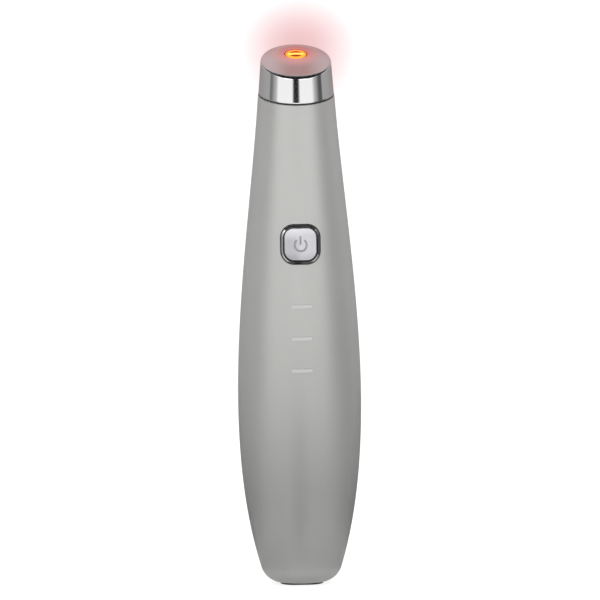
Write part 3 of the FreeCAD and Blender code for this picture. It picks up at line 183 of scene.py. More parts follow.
def quads(rows, columns, wrap_rows=False, wrap_columns=False):
    """Corner numbers of a grid's faces; a wrapped side joins its last line to its first."""
    i = np.arange(rows if wrap_rows else rows - 1)[:, None]
    j = np.arange(columns if wrap_columns else columns - 1)[None, :]
    across, along = (i + 1) % rows, (j + 1) % columns
    corners = (i * columns + j, i * columns + along, across * columns + along,
               across * columns + j)
    return np.stack(np.broadcast_arrays(*corners), axis=-1).reshape(-1, 4)


def piece(name, points, faces, sharp=35.0):
    """Mesh object of points and faces: doubles merged, faces outwards, smooth up to an angle."""
    mesh = bpy.data.meshes.new(name)
    mesh.from_pydata(points.reshape(-1, 3), [], faces)
    work = bmesh.new()
    work.from_mesh(mesh)
    bmesh.ops.remove_doubles(work, verts=work.verts, dist=1e-7)
    bmesh.ops.dissolve_degenerate(work, edges=work.edges, dist=1e-8)
    if work.calc_volume(signed=True) < 0:
        bmesh.ops.reverse_faces(work, faces=work.faces)
    work.to_mesh(mesh)
    work.free()
    mesh.shade_smooth()
    mesh.set_sharp_from_angle(angle=math.radians(sharp))
    thing = bpy.data.objects.new(name, mesh)
    bpy.context.scene.collection.objects.link(thing)
    return thing


def walled(outer, inner):
    """Points and faces of a closed solid between two grids of the same size."""
    rows, columns = outer.shape[:2]
    number = np.arange(rows * columns).reshape(rows, columns)
    border = np.concatenate([number[0, :-1], number[:-1, -1], number[-1, :0:-1],
                             number[:0:-1, 0]])
    following = np.roll(border, -1)
    far = rows * columns
    sheet = quads(rows, columns)
    rim = np.stack([border, border + far, following + far, following], axis=-1)
    faces = np.concatenate([sheet, sheet[:, ::-1] + far, rim])
    return np.concatenate([outer.reshape(-1, 3), inner.reshape(-1, 3)]), faces


def crossing(values, samples):
    """Where each row of values first rises through zero, read from a table of samples."""
    after = np.clip(np.argmax(values > 0, axis=1), 1, values.shape[1] - 1)
    row = np.arange(len(values))
    low, high = values[row, after - 1], values[row, after]
    share = low / (low - high)
    return samples[after - 1] + share * (samples[after] - samples[after - 1])


def rounded_outline(half_wide, half_tall, corner, count):
    """Points round a rectangle with round corners, from the middle of its right side."""
    straight = 2 * np.array([half_tall - corner, half_wide - corner] * 2)
    arc = corner * HALF_TURN / 2
    start = np.concatenate([[0.0], np.cumsum(np.stack([straight, np.full(4, arc)], 1).ravel())])
    place = (np.arange(count) / count * start[-1] + straight[0] / 2) % start[-1]
    leg = np.searchsorted(start, place, side="right") - 1
    side, on_arc = leg // 2, leg % 2 == 1
    into = place - start[leg]
    turn = side * HALF_TURN / 2
    angle = turn + np.where(on_arc, into / corner, 0.0)
    middle_u = (half_wide - corner) * np.array([1, -1, -1, 1])[side]
    middle_v = (half_tall - corner) * np.array([1, 1, -1, -1])[side]
    back = np.where(on_arc, 0.0, straight[side] - into)
    u = middle_u + corner * np.cos(angle) + back * np.sin(turn)
    v = middle_v + corner * np.sin(angle) - back * np.cos(turn)
    return u, v


# ------------------------------------------------------------------ the case


class Form:
    """The case's outer form, moved inwards by inset.

    Height, half width and half depth are each the fifth-degree polynomial of the chord length
    that passes through the six sections, by Lagrange's formula.
    """
    samples = np.linspace(0.0, 1.0, 3001)

    def __init__(self, inset=0.0):
        inset = inset + SKIN_BACK
        height, half, flat = SECTIONS.T
        half = half - inset
        height = height + inset * np.array([1, 0, 0, 0, 0, 1])
        chord = np.cumsum(np.hypot(np.diff(height, prepend=height[0]),
                                   np.diff(half, prepend=half[0])))
        places = chord / chord[-1]
        weights = np.stack([np.prod([(self.samples - other) / (own - other)
                                     for other in places if other != own], axis=0)
                            for own in places])
        self.height, self.half, self.deep = np.stack([height, half, half - flat]) @ weights

    def along(self, place):
        """Height, half width and half depth at a share of the length."""
        return [np.interp(place, self.samples, table)
                for table in (self.height, self.half, self.deep)]

    def front(self, x, z):
        """Depth of the front surface: minus the half depth times sqrt(1 - (x / half width)^2)."""
        half = np.interp(z, self.height, self.half)
        deep = np.interp(z, self.height, self.deep)
        return -deep * np.sqrt(np.clip(1 - (x / half) ** 2, 0, 1))

    def normal(self, points):
        """Outward normal at points on the form: the gradient of (x/half)^2 + (y/deep)^2 - 1."""
        x, y, z = points.T
        half = np.interp(z, self.height, self.half)
        deep = np.interp(z, self.height, self.deep)
        slope_half = np.interp(z, self.height, np.gradient(self.half, self.height))
        slope_deep = np.interp(z, self.height, np.gradient(self.deep, self.height))
        normal = np.stack([x / half ** 2, y / deep ** 2,
                           -(x ** 2 * slope_half / half ** 3 + y ** 2 * slope_deep / deep ** 3)], 1)
        return normal / np.linalg.norm(normal, axis=1, keepdims=True)


OUTER = Form()


def outline_reach(direction, half_wide, half_deep, corner):
    """Distance from the middle to the edge of a rounded rectangle, along unit directions."""
    x, y = np.abs(direction)
    side = half_wide / np.maximum(x, 1e-9)
    front = half_deep / np.maximum(y, 1e-9)
    centre_x, centre_y = half_wide - corner, half_deep - corner
    along = x * centre_x + y * centre_y
    off = x * centre_y - y * centre_x
    arc = along + np.sqrt(np.clip(corner ** 2 - off ** 2, 0, None))
    return np.where(side * y <= centre_y, side, np.where(front * x <= centre_x, front, arc))


def half_case(facing, inset, rounding, edge, columns=161):
    """Grid of one half of the case, from the foot's hole over the base up to the head's seam.

    Each column is the profile at one angle of the ovals: the floor runs out to the arc of the
    base's rounding, which touches the floor and the wall and starts at the hole where the floor
    is narrower than that, and the wall follows the form up to the tilted plane of the seam.
    The last rows round the top edge, and the first and last columns the edges at the split,
    each as a quarter circle.
    """
    form = Form(inset)
    angle = np.linspace(0, HALF_TURN, columns)
    cos, sin = np.cos(angle), np.sin(angle)
    reach = np.hypot(form.half * cos[:, None], form.deep * sin[:, None])
    rise = np.gradient(form.height, form.samples)
    spread = np.gradient(reach, form.samples, axis=1)
    down = -spread / np.hypot(spread, rise)
    floor = SECTIONS[0, 0] + inset
    touch = crossing(form.height - rounding * down - (floor + rounding), form.samples)
    seam = SEAM_HEIGHT + facing * form.deep * sin[:, None] * math.tan(SEAM_TILT)
    top = crossing(form.height + np.zeros_like(seam) - seam, form.samples)

    touch_height, touch_half, touch_deep = form.along(touch)
    plan = np.stack([touch_half * cos, touch_deep * sin])
    touch_reach = np.hypot(*plan)
    plan = plan / touch_reach
    tangent = np.arcsin((touch_height - floor - rounding) / rounding)
    middle = touch_reach - rounding * np.cos(tangent)
    hole = outline_reach(plan, FOOT_HALF - FOOT_GROOVE + FIT, FOOT_DEEP - FOOT_GROOVE + FIT,
                         FOOT_CORNER - FOOT_GROOVE + FIT)

    first = -np.arccos(np.clip((hole - middle) / rounding, 0, 1))
    share = np.linspace(0, 1, 5)[:-1, None]
    floor_reach = hole + share * (np.maximum(middle, hole) - hole)
    floor_rows = [floor_reach * plan[0], floor_reach * plan[1],
                  floor + rounding * (1 + np.sin(first)) + 0 * share]
    bend = first + np.linspace(0, 1, 15)[:-1, None] * (tangent - first)
    bend_reach = middle + rounding * np.cos(bend)
    bend_rows = [bend_reach * plan[0], bend_reach * plan[1],
                 floor + rounding * (1 + np.sin(bend))]
    place = touch + np.linspace(0, 1, 170)[:, None] * (top - touch)
    height, half, deep = form.along(place)
    height[-1] -= edge
    wall_rows = [half * cos, deep * sin, height]
    over = np.linspace(0, HALF_TURN / 2, 5)[1:, None]
    shrink = 1 - edge * (1 - np.cos(over)) / half[-1]
    top_rows = [half[-1] * cos * shrink, deep[-1] * sin * shrink, height[-1] + edge * np.sin(over)]
    grid = np.stack([np.concatenate(rows) for rows in
                     zip(floor_rows, bend_rows, wall_rows, top_rows)], axis=-1)

    grid[:, :, 1] = np.maximum(grid[:, :, 1], SPLIT_GAP / 2 + edge)
    ends = []
    for column in (0, -1):
        last = grid[:, column]
        side = np.sign(last[:1, :1]) * np.array([[1.0, 0.0, 0.0]])
        steps = [last - side * edge * (1 - math.cos(step)) - [0, edge * math.sin(step), 0]
                 for step in np.linspace(0, HALF_TURN / 2, 5)[1:]]
        ends.append(np.stack(steps, axis=1))
    grid = np.concatenate([ends[0][:, ::-1], grid, ends[1]], axis=1)
    grid[:, :, 1] *= facing
    return grid


def lapped(facing, outer, inner):
    """Both grids with the lap of the split: the inner half of the front shell's wall runs on as a
    lip, and the rear shell's wall is half as thick beside it."""
    middle = half_case(facing, WALL / 2 + (LIP_GAP if facing < 0 else 0.0),
                       BASE_ROUND - WALL / 2, 0.0)
    if facing > 0:
        inner[:, :LIP_COLUMNS] = middle[:, :LIP_COLUMNS]
        inner[:, -LIP_COLUMNS:] = middle[:, -LIP_COLUMNS:]
        return outer, inner
    tip = np.array([0.0, SPLIT_GAP / 2 + LIP_TALL, 0.0])
    root, foot = middle[:, [0, -1]], inner[:, [0, -1]]
    outer = np.concatenate([(root + tip)[:, :1], root[:, :1], outer, root[:, 1:],
                            (root + tip)[:, 1:]], axis=1)
    inner = np.concatenate([(foot + tip)[:, :1], foot[:, :1], inner, foot[:, 1:],
                            (foot + tip)[:, 1:]], axis=1)
    return outer, inner


def prism(name, outline, near, far):
    """Closed straight prism along Y through an outline of (x, z) points."""
    x, z = outline
    ends = [np.stack([x, np.full_like(x, depth), z], axis=-1) for depth in (near, far)]
    middle = np.array([[x.mean(), near, z.mean()], [x.mean(), far, z.mean()]])
    rows = np.stack([np.broadcast_to(middle[:1], ends[0].shape), *ends,
                     np.broadcast_to(middle[1:], ends[0].shape)])
    return piece(name, rows, quads(4, len(x), wrap_columns=True))


def open_case(case, *cutters):
    """Cut straight openings with the cutters, which are then removed."""
    for cutter in cutters:
        opening = case.modifiers.new(cutter.name, "BOOLEAN")
        opening.operation, opening.solver, opening.object = "DIFFERENCE", "EXACT", cutter
    finished = case.evaluated_get(bpy.context.evaluated_depsgraph_get())
    mesh = bpy.data.meshes.new_from_object(finished)
    case.modifiers.clear()
    case.data = mesh
    for cutter in cutters:
        bpy.data.objects.remove(cutter)
    return case


def take_form_normals(case):
    """Give every corner on the outer skin the normal that the form has there."""
    mesh = case.data
    count = len(mesh.loops)
    vertex = np.empty(count, np.int32)
    mesh.loops.foreach_get("vertex_index", vertex)
    points = np.empty(len(mesh.vertices) * 3)
    mesh.vertices.foreach_get("co", points)
    points = points.reshape(-1, 3)
    normals = np.empty(count * 3, np.float32)
    mesh.corner_normals.foreach_get("vector", normals)
    normals = normals.reshape(-1, 3)
    exact = OUTER.normal(points)[vertex]
    x, y, z = points.T
    half = np.interp(z, OUTER.height, OUTER.half)
    deep = np.interp(z, OUTER.height, OUTER.deep)
    on_skin = np.abs(np.hypot(x / half, y / deep) - 1) * half < 0.02 * MM
    on_skin &= z > SECTIONS[0, 0] + BASE_ROUND
    face = np.empty(len(mesh.polygons) * 3)
    mesh.polygons.foreach_get("normal", face)
    sizes = np.empty(len(mesh.polygons), np.int32)
    mesh.polygons.foreach_get("loop_total", sizes)
    face = np.repeat(face.reshape(-1, 3), sizes, axis=0)
    chosen = on_skin[vertex] & (np.sum(face * exact, axis=1) > 0.97)
    normals[chosen] = exact[chosen]
    mesh.normals_split_custom_set(normals)


class WAND_OT_case(bpy.types.Operator):
    """Two moulded half shells with their wall, rounded edges and openings"""
    bl_idname = "wand.case"
    bl_label = "Case"

    def execute(self, context):
        edge = context.scene.wand_sizes.edge_round
        for name, node, facing in (("case_front", "front_shell", -1),
                                   ("case_rear", "rear_shell", 1)):
            outer = half_case(facing, 0.0, BASE_ROUND, edge)
            inner = half_case(facing, WALL, FLOOR_ROUND, 0.0)
            case = piece(name, *walled(*lapped(facing, outer, inner)), sharp=50.0)
            if facing < 0:
                opening = FRAME_HALF - FRAME_STEP + FIT
                corner = FRAME_CORNER - FRAME_STEP + FIT
                x, z = rounded_outline(opening, opening, corner, 96)
                cutters = [prism("button_opening", (x, z + BUTTON_HEIGHT),
                                 OUTER.deep.max() * -1.2, OUTER.deep.max() * -0.5)]
                for k, height in enumerate(BARS):
                    x, z = rounded_outline(BAR_WIDE / 2 + FIT, BAR_TALL / 2 + FIT, 4 * FIT, 128)
                    cutters.append(prism("bar_opening_%d" % k, (x, z + height),
                                         OUTER.deep.max() * -1.2, OUTER.deep.max() * -0.5))
                open_case(case, *cutters)
            take_form_normals(case)
            wear(case, "shell_grey")
            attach(case, "housing")
            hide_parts(node)
        return {"FINISHED"}


# ------------------------------------------------------------------ the head


def on_dome(radius, polar, around):
    """Points on a ball about the dome's centre, by the angle from the light's axis."""
    side = np.cos(around)[..., None] * LIGHT_SIDE + np.sin(around)[..., None] * LIGHT_BACK
    return DOME_CENTRE + radius * (np.sin(polar)[..., None] * side
                                   + np.cos(polar)[..., None] * LIGHT_AXIS)


def polar_place(points):
    """Angle from the light's axis and angle round it, seen from the dome's centre."""
    away = points - DOME_CENTRE
    away = away / np.linalg.norm(away, axis=-1, keepdims=True)
    return (np.arccos(np.clip(away @ LIGHT_AXIS, -1, 1)),
            np.arctan2(away @ LIGHT_BACK, away @ LIGHT_SIDE))


def on_ring(radius, height, around):
    """Points of a circle about the wand's axis; radius and height may change round it."""
    return np.stack(np.broadcast_arrays(radius * np.cos(around), radius * np.sin(around),
                                        height), axis=-1)


def meets_dome(radius_at, dome_radius, around):
    """Height at which a wall about the wand's axis meets the ball of the dome, per angle."""
    heights = np.linspace(SEAM_HEIGHT, RIM_HEIGHT + 5 * MM, 2001)
    points = on_ring(radius_at(heights)[None, :], heights[None, :], around[:, None])
    return crossing(np.linalg.norm(points - DOME_CENTRE, axis=-1) - dome_radius, heights)


def arc_between(start, corner, end, count):
    """Circular arc that touches start-corner and corner-end: a rational Bezier curve of degree 2,
    whose middle weight is the cosine of half the turn."""
    into, out = corner - start, end - corner
    cosine = np.sum(into * out, -1) / np.linalg.norm(into, axis=-1) / np.linalg.norm(out, axis=-1)
    weight = np.sqrt((1 + cosine) / 2)[None, :, None]
    share = np.linspace(0, 1, count)[:, None, None]
    a, b, c = (1 - share) ** 2, 2 * share * (1 - share) * weight, share ** 2
    return (a * start + b * corner + c * end) / (a + b + c)


def head_grid(edge, columns=288):
    """Closed grid of the metal head; each column is its profile at one angle.

    Outside it climbs the slim cone from the gasket, turns over the rim's arc and runs up the
    dome to the window's bevel; inside it comes back under the dome and down the bore.
    """
    around = np.linspace(0, 2 * HALF_TURN, columns, endpoint=False)
    slope = (RIM_HALF - HEAD_HALF) / (RIM_HEIGHT - SEAM_HEIGHT)

    def cone(z):
        return HEAD_HALF + slope * (z - SEAM_HEIGHT)

    lift = GASKET_THICK / math.cos(SEAM_TILT)
    tangent = math.tan(SEAM_TILT)
    low = SEAM_HEIGHT + lift + HEAD_HALF * np.sin(around) * tangent
    low_inside = SEAM_HEIGHT + lift + (RIM_HALF - HEAD_WALL) * np.sin(around) * tangent
    rim_height = meets_dome(cone, DOME_RADIUS, around)
    rim = on_ring(cone(rim_height), rim_height, around)
    polar, turned = polar_place(rim)
    window = math.asin((WINDOW_HALF + WINDOW_BEVEL) / DOME_RADIUS)

    up = on_ring(cone(rim_height) - slope * MM, rim_height - MM, around) - rim
    up = up / np.linalg.norm(up, axis=-1, keepdims=True)
    over = on_dome(DOME_RADIUS, polar - 0.01, turned) - rim
    over = over / np.linalg.norm(over, axis=-1, keepdims=True)
    turn = HALF_TURN - np.arccos(np.sum(up * over, -1))
    reach = RIM_ROUND * np.tan(turn / 2)
    start = rim + up * reach[:, None]
    end_polar = polar - reach / DOME_RADIUS
    end = on_dome(DOME_RADIUS, end_polar, turned)
    fillet = arc_between(start, rim, end, 13)

    bottom = on_ring(cone(low), low, around)
    rising = np.linspace(0, 1, 41)[:-1, None, None]
    side = bottom + np.array([0, 0, edge]) + rising * (start - bottom - np.array([0, 0, edge]))
    rounding = np.linspace(0, HALF_TURN / 2, 5)[:-1]
    foot = np.stack([on_ring(cone(low) - edge * (1 - math.sin(step)),
                             low + edge * (1 - math.cos(step)), around) for step in rounding])
    share = np.linspace(0, 1, 41)[1:, None]
    dome = on_dome(DOME_RADIUS, end_polar + share * (window - end_polar), turned + 0 * share)
    window_inner = math.asin(WINDOW_HALF / DOME_RADIUS)
    throat = on_dome(DOME_RADIUS, np.full(columns, window_inner), turned)
    throat = throat - WINDOW_BEVEL * LIGHT_AXIS
    inner_radius = DOME_RADIUS - HEAD_WALL
    inner_window = math.asin(WINDOW_HALF / inner_radius)
    under = on_dome(inner_radius, np.full(columns, inner_window), turned)
    bore = RIM_HALF - HEAD_WALL
    bore_top = meets_dome(lambda z: np.full_like(z, bore), inner_radius, around)
    corner = on_ring(bore, bore_top, around)
    inner_polar, inner_turned = polar_place(corner)
    share = np.linspace(0, 1, 12)[1:-1, None]
    below = on_dome(inner_radius, inner_window + share * (inner_polar - inner_window),
                    turned + share * ((inner_turned - turned + HALF_TURN) % (2 * HALF_TURN)
                                      - HALF_TURN))
    base = on_ring(bore, low_inside, around)
    return np.concatenate([foot, side, fillet, dome, throat[None], under[None], below,
                           corner[None], base[None]])


class WAND_OT_head(bpy.types.Operator):
    """Polished metal head with its tilted, domed top and the window's bevel"""
    bl_idname = "wand.head"
    bl_label = "Head"

    def execute(self, context):
        grid = head_grid(context.scene.wand_sizes.edge_round)
        head = piece("head_cap", grid, quads(*grid.shape[:2], True, True), sharp=40.0)
        wear(head, "head_metal")
        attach(head, "housing")
        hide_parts("massage_head")
        return {"FINISHED"}


def turned_about_light(profile, columns=96):
    """Grid of a profile of (radius, height) points turned about the head's light axis.

    Heights count along the axis from the dome's top.
    """
    around = np.linspace(0, 2 * HALF_TURN, columns, endpoint=False)
    radius, height = np.array(profile).T
    side = np.cos(around)[:, None] * LIGHT_SIDE + np.sin(around)[:, None] * LIGHT_BACK
    top = RIM_CENTRE + DOME_RISE * LIGHT_AXIS
    return (top + radius[:, None, None] * side[None] + height[:, None, None] * LIGHT_AXIS)


class WAND_OT_window(bpy.types.Operator):
    """Lens of the head's light: a shallow crown with a rounded edge over a thick flange"""
    bl_idname = "wand.window"
    bl_label = "Light window"

    def execute(self, context):
        low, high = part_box("head_lens")
        half = WINDOW_HALF - FIT
        flange = (high.x - low.x) / 2
        sag = WINDOW_HALF ** 2 / (2 * DOME_RADIUS)
        top = -sag - LENS_RECESS
        crown = 0.25 * MM
        share = np.linspace(0, 1, 13)
        cap = [(half * 0.9 * s, top - crown * (s * 0.9) ** 2) for s in share]
        shoulder = -HEAD_WALL - FIT - (flange ** 2) / (2 * (DOME_RADIUS - HEAD_WALL))
        edge = [(half * (0.9 + 0.1 * math.sin(t)),
                 top - crown * 0.81 - half * 0.1 * (1 - math.cos(t)))
                for t in np.linspace(0, HALF_TURN / 2, 5)[1:]]
        rest = [(half, shoulder), (flange, shoulder), (flange, shoulder - 0.8 * MM),
                (0.0, shoulder - 0.8 * MM)]
        grid = turned_about_light(cap + edge + rest)
        lens = piece("light_lens", grid, quads(*grid.shape[:2], False, True))
        wear(lens, "lens_amber")
        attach(lens, "housing")
        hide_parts("head_lens")
        return {"FINISHED"}


# ------------------------------------------------------------------ the button


def framed(profile, half, corner, count=160):
    """Closed ring round the button: a closed profile of (inset, lift) points, carried round a
    rounded square.  Lift counts outwards from the case's own front surface."""
    rows = []
    for inset, lift in profile:
        x, z = rounded_outline(half - inset, half - inset, corner - inset, count)
        z = z + BUTTON_HEIGHT
        rows.append(np.stack([x, OUTER.front(x, z) - lift, z], axis=-1))
    return np.stack(rows)


class WAND_OT_button_frame(bpy.types.Operator):
    """Plated frame of the button: a steep outer edge, a bevel and a small rounded ridge"""
    bl_idname = "wand.button_frame"
    bl_label = "Button frame"

    def execute(self, context):
        sizes = context.scene.wand_sizes
        crown, slope = sizes.frame_crown, sizes.frame_slope
        middle = FRAME_RING - crown
        ridge = [(middle + crown * math.cos(turn), FRAME_PROUD - crown + crown * math.sin(turn))
                 for turn in np.linspace(HALF_TURN / 2 + slope, 0, 10)]
        start = np.array(ridge[0])
        foot = np.array([sizes.frame_edge,
                         start[1] - (start[0] - sizes.frame_edge) * math.tan(slope)])
        bevel = [foot + share * (start - foot) for share in np.linspace(0, 1, 6)[:-1]]
        bevel.insert(0, (0.0, 0.0))
        throat = [(FRAME_RING, -FRAME_DEEP), (FRAME_STEP, -FRAME_DEEP),
                  (FRAME_STEP, -BUTTON_GAP), (0.0, -BUTTON_GAP)]
        grid = framed(bevel + ridge + throat, FRAME_HALF, FRAME_CORNER)
        ring = piece("button_frame", grid, quads(*grid.shape[:2], True, True), sharp=50.0)
        wear(ring, "frame_chrome")
        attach(ring, "housing")
        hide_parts("button_bezel")
        return {"FINISHED"}


def power_sign(x, z, half, line):
    """1 inside the power sign and 0 outside: a ring that is open at the top, and a bar in the gap.
    x and z count from the ring's middle."""
    soft = 0.06 * MM
    ring = np.abs(np.hypot(x, z) - half) - line / 2
    opening = SIGN_GAP - np.abs(np.arctan2(x, z))
    ring = np.maximum(ring, opening * half)
    reach = np.abs(z - (SIGN_BAR_TOP + SIGN_BAR_LOW) / 2) - (SIGN_BAR_TOP - SIGN_BAR_LOW) / 2
    bar = np.maximum(np.abs(x) - line / 2, reach)
    edge = np.minimum(ring, bar)
    return np.clip(0.5 - edge / soft, 0, 1)


class WAND_OT_power_button(bpy.types.Operator):
    """Button cap with a rounded edge and the engraved power sign"""
    bl_idname = "wand.power_button"
    bl_label = "Power button"

    def execute(self, context):
        sizes = context.scene.wand_sizes
        half = FRAME_HALF - FRAME_RING - BUTTON_GAP
        corner = FRAME_CORNER - FRAME_RING - BUTTON_GAP
        rounding = sizes.button_round
        count = 480
        x_edge, z_edge = rounded_outline(half - rounding, half - rounding, corner - rounding, count)
        share = np.linspace(0, 1, 121)[:, None]
        x, z = share * x_edge, share * z_edge
        sign = power_sign(x, z + SIGN_BELOW, sizes.sign_half, sizes.sign_line)
        y = OUTER.front(x, z + BUTTON_HEIGHT) - BUTTON_PROUD + sign * sizes.sign_deep
        face = np.stack([x, y, z + BUTTON_HEIGHT], axis=-1)
        sides = []
        for inset, sink in ([(rounding * (1 - math.sin(t)), rounding * (1 - math.cos(t)))
                             for t in np.linspace(0, HALF_TURN / 2, 9)[1:]]
                            + [(0.0, 3.4 * MM)]):
            x, z = rounded_outline(half - inset, half - inset, corner - inset, count)
            z = z + BUTTON_HEIGHT
            sides.append(np.stack([x, OUTER.front(x, z) - BUTTON_PROUD + sink, z], axis=-1))
        back = sides[-1].mean(axis=0) + np.zeros_like(sides[-1])
        grid = np.concatenate([face, np.stack(sides), back[None]])
        cap = piece("button_cap", grid, quads(*grid.shape[:2], False, True), sharp=60.0)
        wear(cap, "button_silver")
        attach(cap, "button")
        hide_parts("power_button")
        return {"FINISHED"}


# ------------------------------------------------------------------ finishes


class Value:
    """A shader socket that takes part in arithmetic through Math nodes."""

    def __init__(self, finish, socket):
        self.finish, self.socket = finish, socket

    def math(self, operation, first, second=0.0):
        return self.finish.node("ShaderNodeMath", {"operation": operation}, {0: first, 1: second})

    def __add__(self, other):
        return self.math("ADD", self, other)

    def __sub__(self, other):
        return self.math("SUBTRACT", self, other)

    def __rsub__(self, other):
        return self.math("SUBTRACT", other, self)

    def __mul__(self, other):
        return self.math("MULTIPLY", self, other)

    def __truediv__(self, other):
        return self.math("DIVIDE", self, other)

    def __lt__(self, other):
        return self.math("LESS_THAN", self, other)

    def __gt__(self, other):
        return self.math("GREATER_THAN", self, other)

    def __abs__(self):
        return self.math("ABSOLUTE", self)

    def lowest(self, other):
        return self.math("MINIMUM", self, other)

    def highest(self, other):
        return self.math("MAXIMUM", self, other)

    __radd__ = __add__
    __rmul__ = __mul__


class Finish:
    """A material's or the world's node tree, built from Python."""

    def __init__(self, owner):
        owner.use_nodes = True
        self.tree = owner.node_tree
        self.tree.nodes.clear()

    def node(self, kind, settings=None, sockets=None, output=0):
        """Add a node: its settings first, then the values or links of its sockets."""
        made = self.tree.nodes.new(kind)
        for name, setting in (settings or {}).items():
            if name == "stops":
                ramp = made.color_ramp.elements
                for stop, (place, shade) in zip(ramp, (setting[0], setting[-1])):
                    stop.position, stop.color = place, (*shade, 1.0)
                for place, shade in setting[1:-1]:
                    ramp.new(place).color = (*shade, 1.0)
            else:
                setattr(made, name, setting)
        for name, given in (sockets or {}).items():
            socket = made.inputs[name]
            if isinstance(given, Value):
                self.tree.links.new(given.socket, socket)
            elif socket.type == "RGBA":
                socket.default_value = (*given, 1.0)
            else:
                socket.default_value = given
        return Value(self, made.outputs[output]) if made.outputs else None

    def place(self):
        """The point on the object, in metres."""
        return self.node("ShaderNodeTexCoord", output="Object")

    def split(self, vector):
        return [self.node("ShaderNodeSeparateXYZ", None, {0: vector}, output=k) for k in range(3)]

    def distance(self, *parts):
        """Length of the vector with these parts."""
        vector = self.node("ShaderNodeCombineXYZ", None, dict(enumerate(parts)))
        return self.node("ShaderNodeVectorMath", {"operation": "LENGTH"}, {0: vector}, output=1)

    def ramp(self, stops, share):
        """Level read between stops of place and level, at a share from 0 to 1."""
        shade = self.node("ShaderNodeValToRGB",
                          {"stops": [(place, (level,) * 3) for place, level in stops]},
                          {0: share})
        return self.node("ShaderNodeSeparateColor", None, {0: shade})

    def noise(self, size, detail=2.0, where=None):
        """Noise between 0 and 1 whose grains are about size metres across."""
        return self.node("ShaderNodeTexNoise", None,
                         {"Vector": where or self.place(), "Scale": 1.0 / size, "Detail": detail})

    def speckle(self, size):
        """Cells of random brightness, about size metres across."""
        cell = self.node("ShaderNodeTexVoronoi", {"feature": "F1"},
                         {"Vector": self.place(), "Scale": 1.0 / size}, output="Color")
        return self.node("ShaderNodeSeparateColor", None, {0: cell})

    def step(self, value, low, high):
        """Smooth step from 0 at low to 1 at high."""
        return self.node("ShaderNodeMapRange", {"interpolation_type": "SMOOTHSTEP"},
                         {"Value": value, "From Min": low, "From Max": high})

    def blend(self, share, first, second):
        """Mix of two colours."""
        return self.node("ShaderNodeMix", {"data_type": "RGBA"}, {0: share, 6: first, 7: second},
                         output=2)

    def bump(self, height, distance, strength=1.0):
        """Normal of a surface whose height goes from 0 to 1 over the distance."""
        return self.node("ShaderNodeBump", None,
                         {"Height": height, "Distance": distance, "Strength": strength})

    def surface(self, **sockets):
        """Principled surface; an underscore in a name stands for a space."""
        shader = self.node("ShaderNodeBsdfPrincipled", None,
                           {name.replace("_", " "): given for name, given in sockets.items()})
        self.node("ShaderNodeOutputMaterial", None, {"Surface": shader})


def shaded(base, factor):
    return tuple(min(1.0, part * factor) for part in base)


def case_lacquer(finish, colours):
    """Satin lacquer: fine pearl flakes, a faint drift of tone and a slight orange peel."""
    base = tuple(colours.case)
    flakes = finish.speckle(0.10 * MM)
    drift = finish.noise(14 * MM, 3.0)
    peel = finish.noise(0.9 * MM, 2.0)
    tone = finish.blend(drift, shaded(base, 0.97), shaded(base, 1.03))
    tone = finish.blend(flakes * 0.10, tone, shaded(base, 1.5))
    finish.surface(Base_Color=tone, Metallic=0.45, Roughness=0.32 + 0.06 * drift + 0.04 * flakes,
                   Coat_Weight=0.15, Coat_Roughness=0.2,
                   Normal=finish.bump(peel, 0.004 * MM, 0.6))


def light_place(finish):
    """Point in the head's own axes: x to the side, y backwards, z above the rim's plane."""
    turn = Matrix.Rotation(-HEAD_TILT, 3, "X")
    shift = -(turn @ Vector(RIM_CENTRE))
    return finish.node("ShaderNodeMapping", {"vector_type": "POINT"},
                       {"Vector": finish.place(), "Location": shift,
                        "Rotation": (-HEAD_TILT, 0.0, 0.0)})


def head_polish(finish, colours):
    """Mirror polish on the side, with faint hairlines; the top has a soft sheen and painted light:
    rose from its own window, darker in front, paler behind, less rosy at the sides, with a painted
    glow round the window.
    """
    metal, rose = tuple(colours.metal), tuple(colours.rose)
    x, y, z = finish.split(light_place(finish))
    reach = finish.distance(x, y)
    top = finish.step(z, -0.35 * MM, 0.0)
    # Painted glow of the window's light: a warm ring within about 7 mm of the window
    near = finish.step(reach, 7.0 * MM, 3.0 * MM)
    middle = finish.step(abs(x), 7.5 * MM, 1.5 * MM)
    hairline = finish.noise(0.5 * MM, 3.0, finish.node(
        "ShaderNodeMapping", None, {"Vector": finish.place(), "Scale": (1.0, 1.0, 9.0)}))
    # Painted light: the top is darker in front and paler behind
    back = finish.step(y, -8 * MM, 8 * MM)
    # Painted light: the top's tone at the sides and in the middle, each a darker copy in front and
    # a paler one behind
    painted_top_light = finish.blend(middle, finish.blend(back, shaded(colours.painted_top_light, 0.85),
                                              shaded(colours.painted_top_light, 1.15)),
                         finish.blend(back, shaded(rose, 0.73), tuple(colours.painted_back_light)))
    # Painted glow round the window, (0.76, 0.36, 0.34), laid over the top's painted tone
    tone = finish.blend(top, metal, finish.blend(near, painted_top_light, (0.76, 0.36, 0.34)))
    finish.surface(Base_Color=tone, Metallic=1.0 - 0.85 * top,
                   Roughness=0.05 + 0.03 * hairline + 0.30 * top,
                   Normal=finish.bump(hairline, 0.001 * MM, 0.15))


def window_glow(finish, colours):
    """Amber lens: a glowing ring and bar, with darker gaps above and below the bar."""
    glow = tuple(colours.glow)
    x, y = finish.split(light_place(finish))[:2]
    reach = finish.distance(x, y)
    ring = finish.step(abs(reach - 2.15 * MM), 0.75 * MM, 0.25 * MM)
    bar = finish.step(abs(y), 0.75 * MM, 0.35 * MM) * finish.step(reach, 2.2 * MM, 1.8 * MM)
    lit = ring.highest(bar)
    grain = finish.noise(0.4 * MM, 2.0)
    tone = finish.blend(lit, (0.22, 0.03, 0.01), glow)
    light = finish.blend(bar, glow, (1.0, 0.62, 0.12))
    light = finish.blend(lit, (0.10, 0.012, 0.004), light)
    finish.surface(Base_Color=tone, Roughness=0.12 + 0.05 * grain, Coat_Weight=0.6,
                   Emission_Color=light, Emission_Strength=1.6)


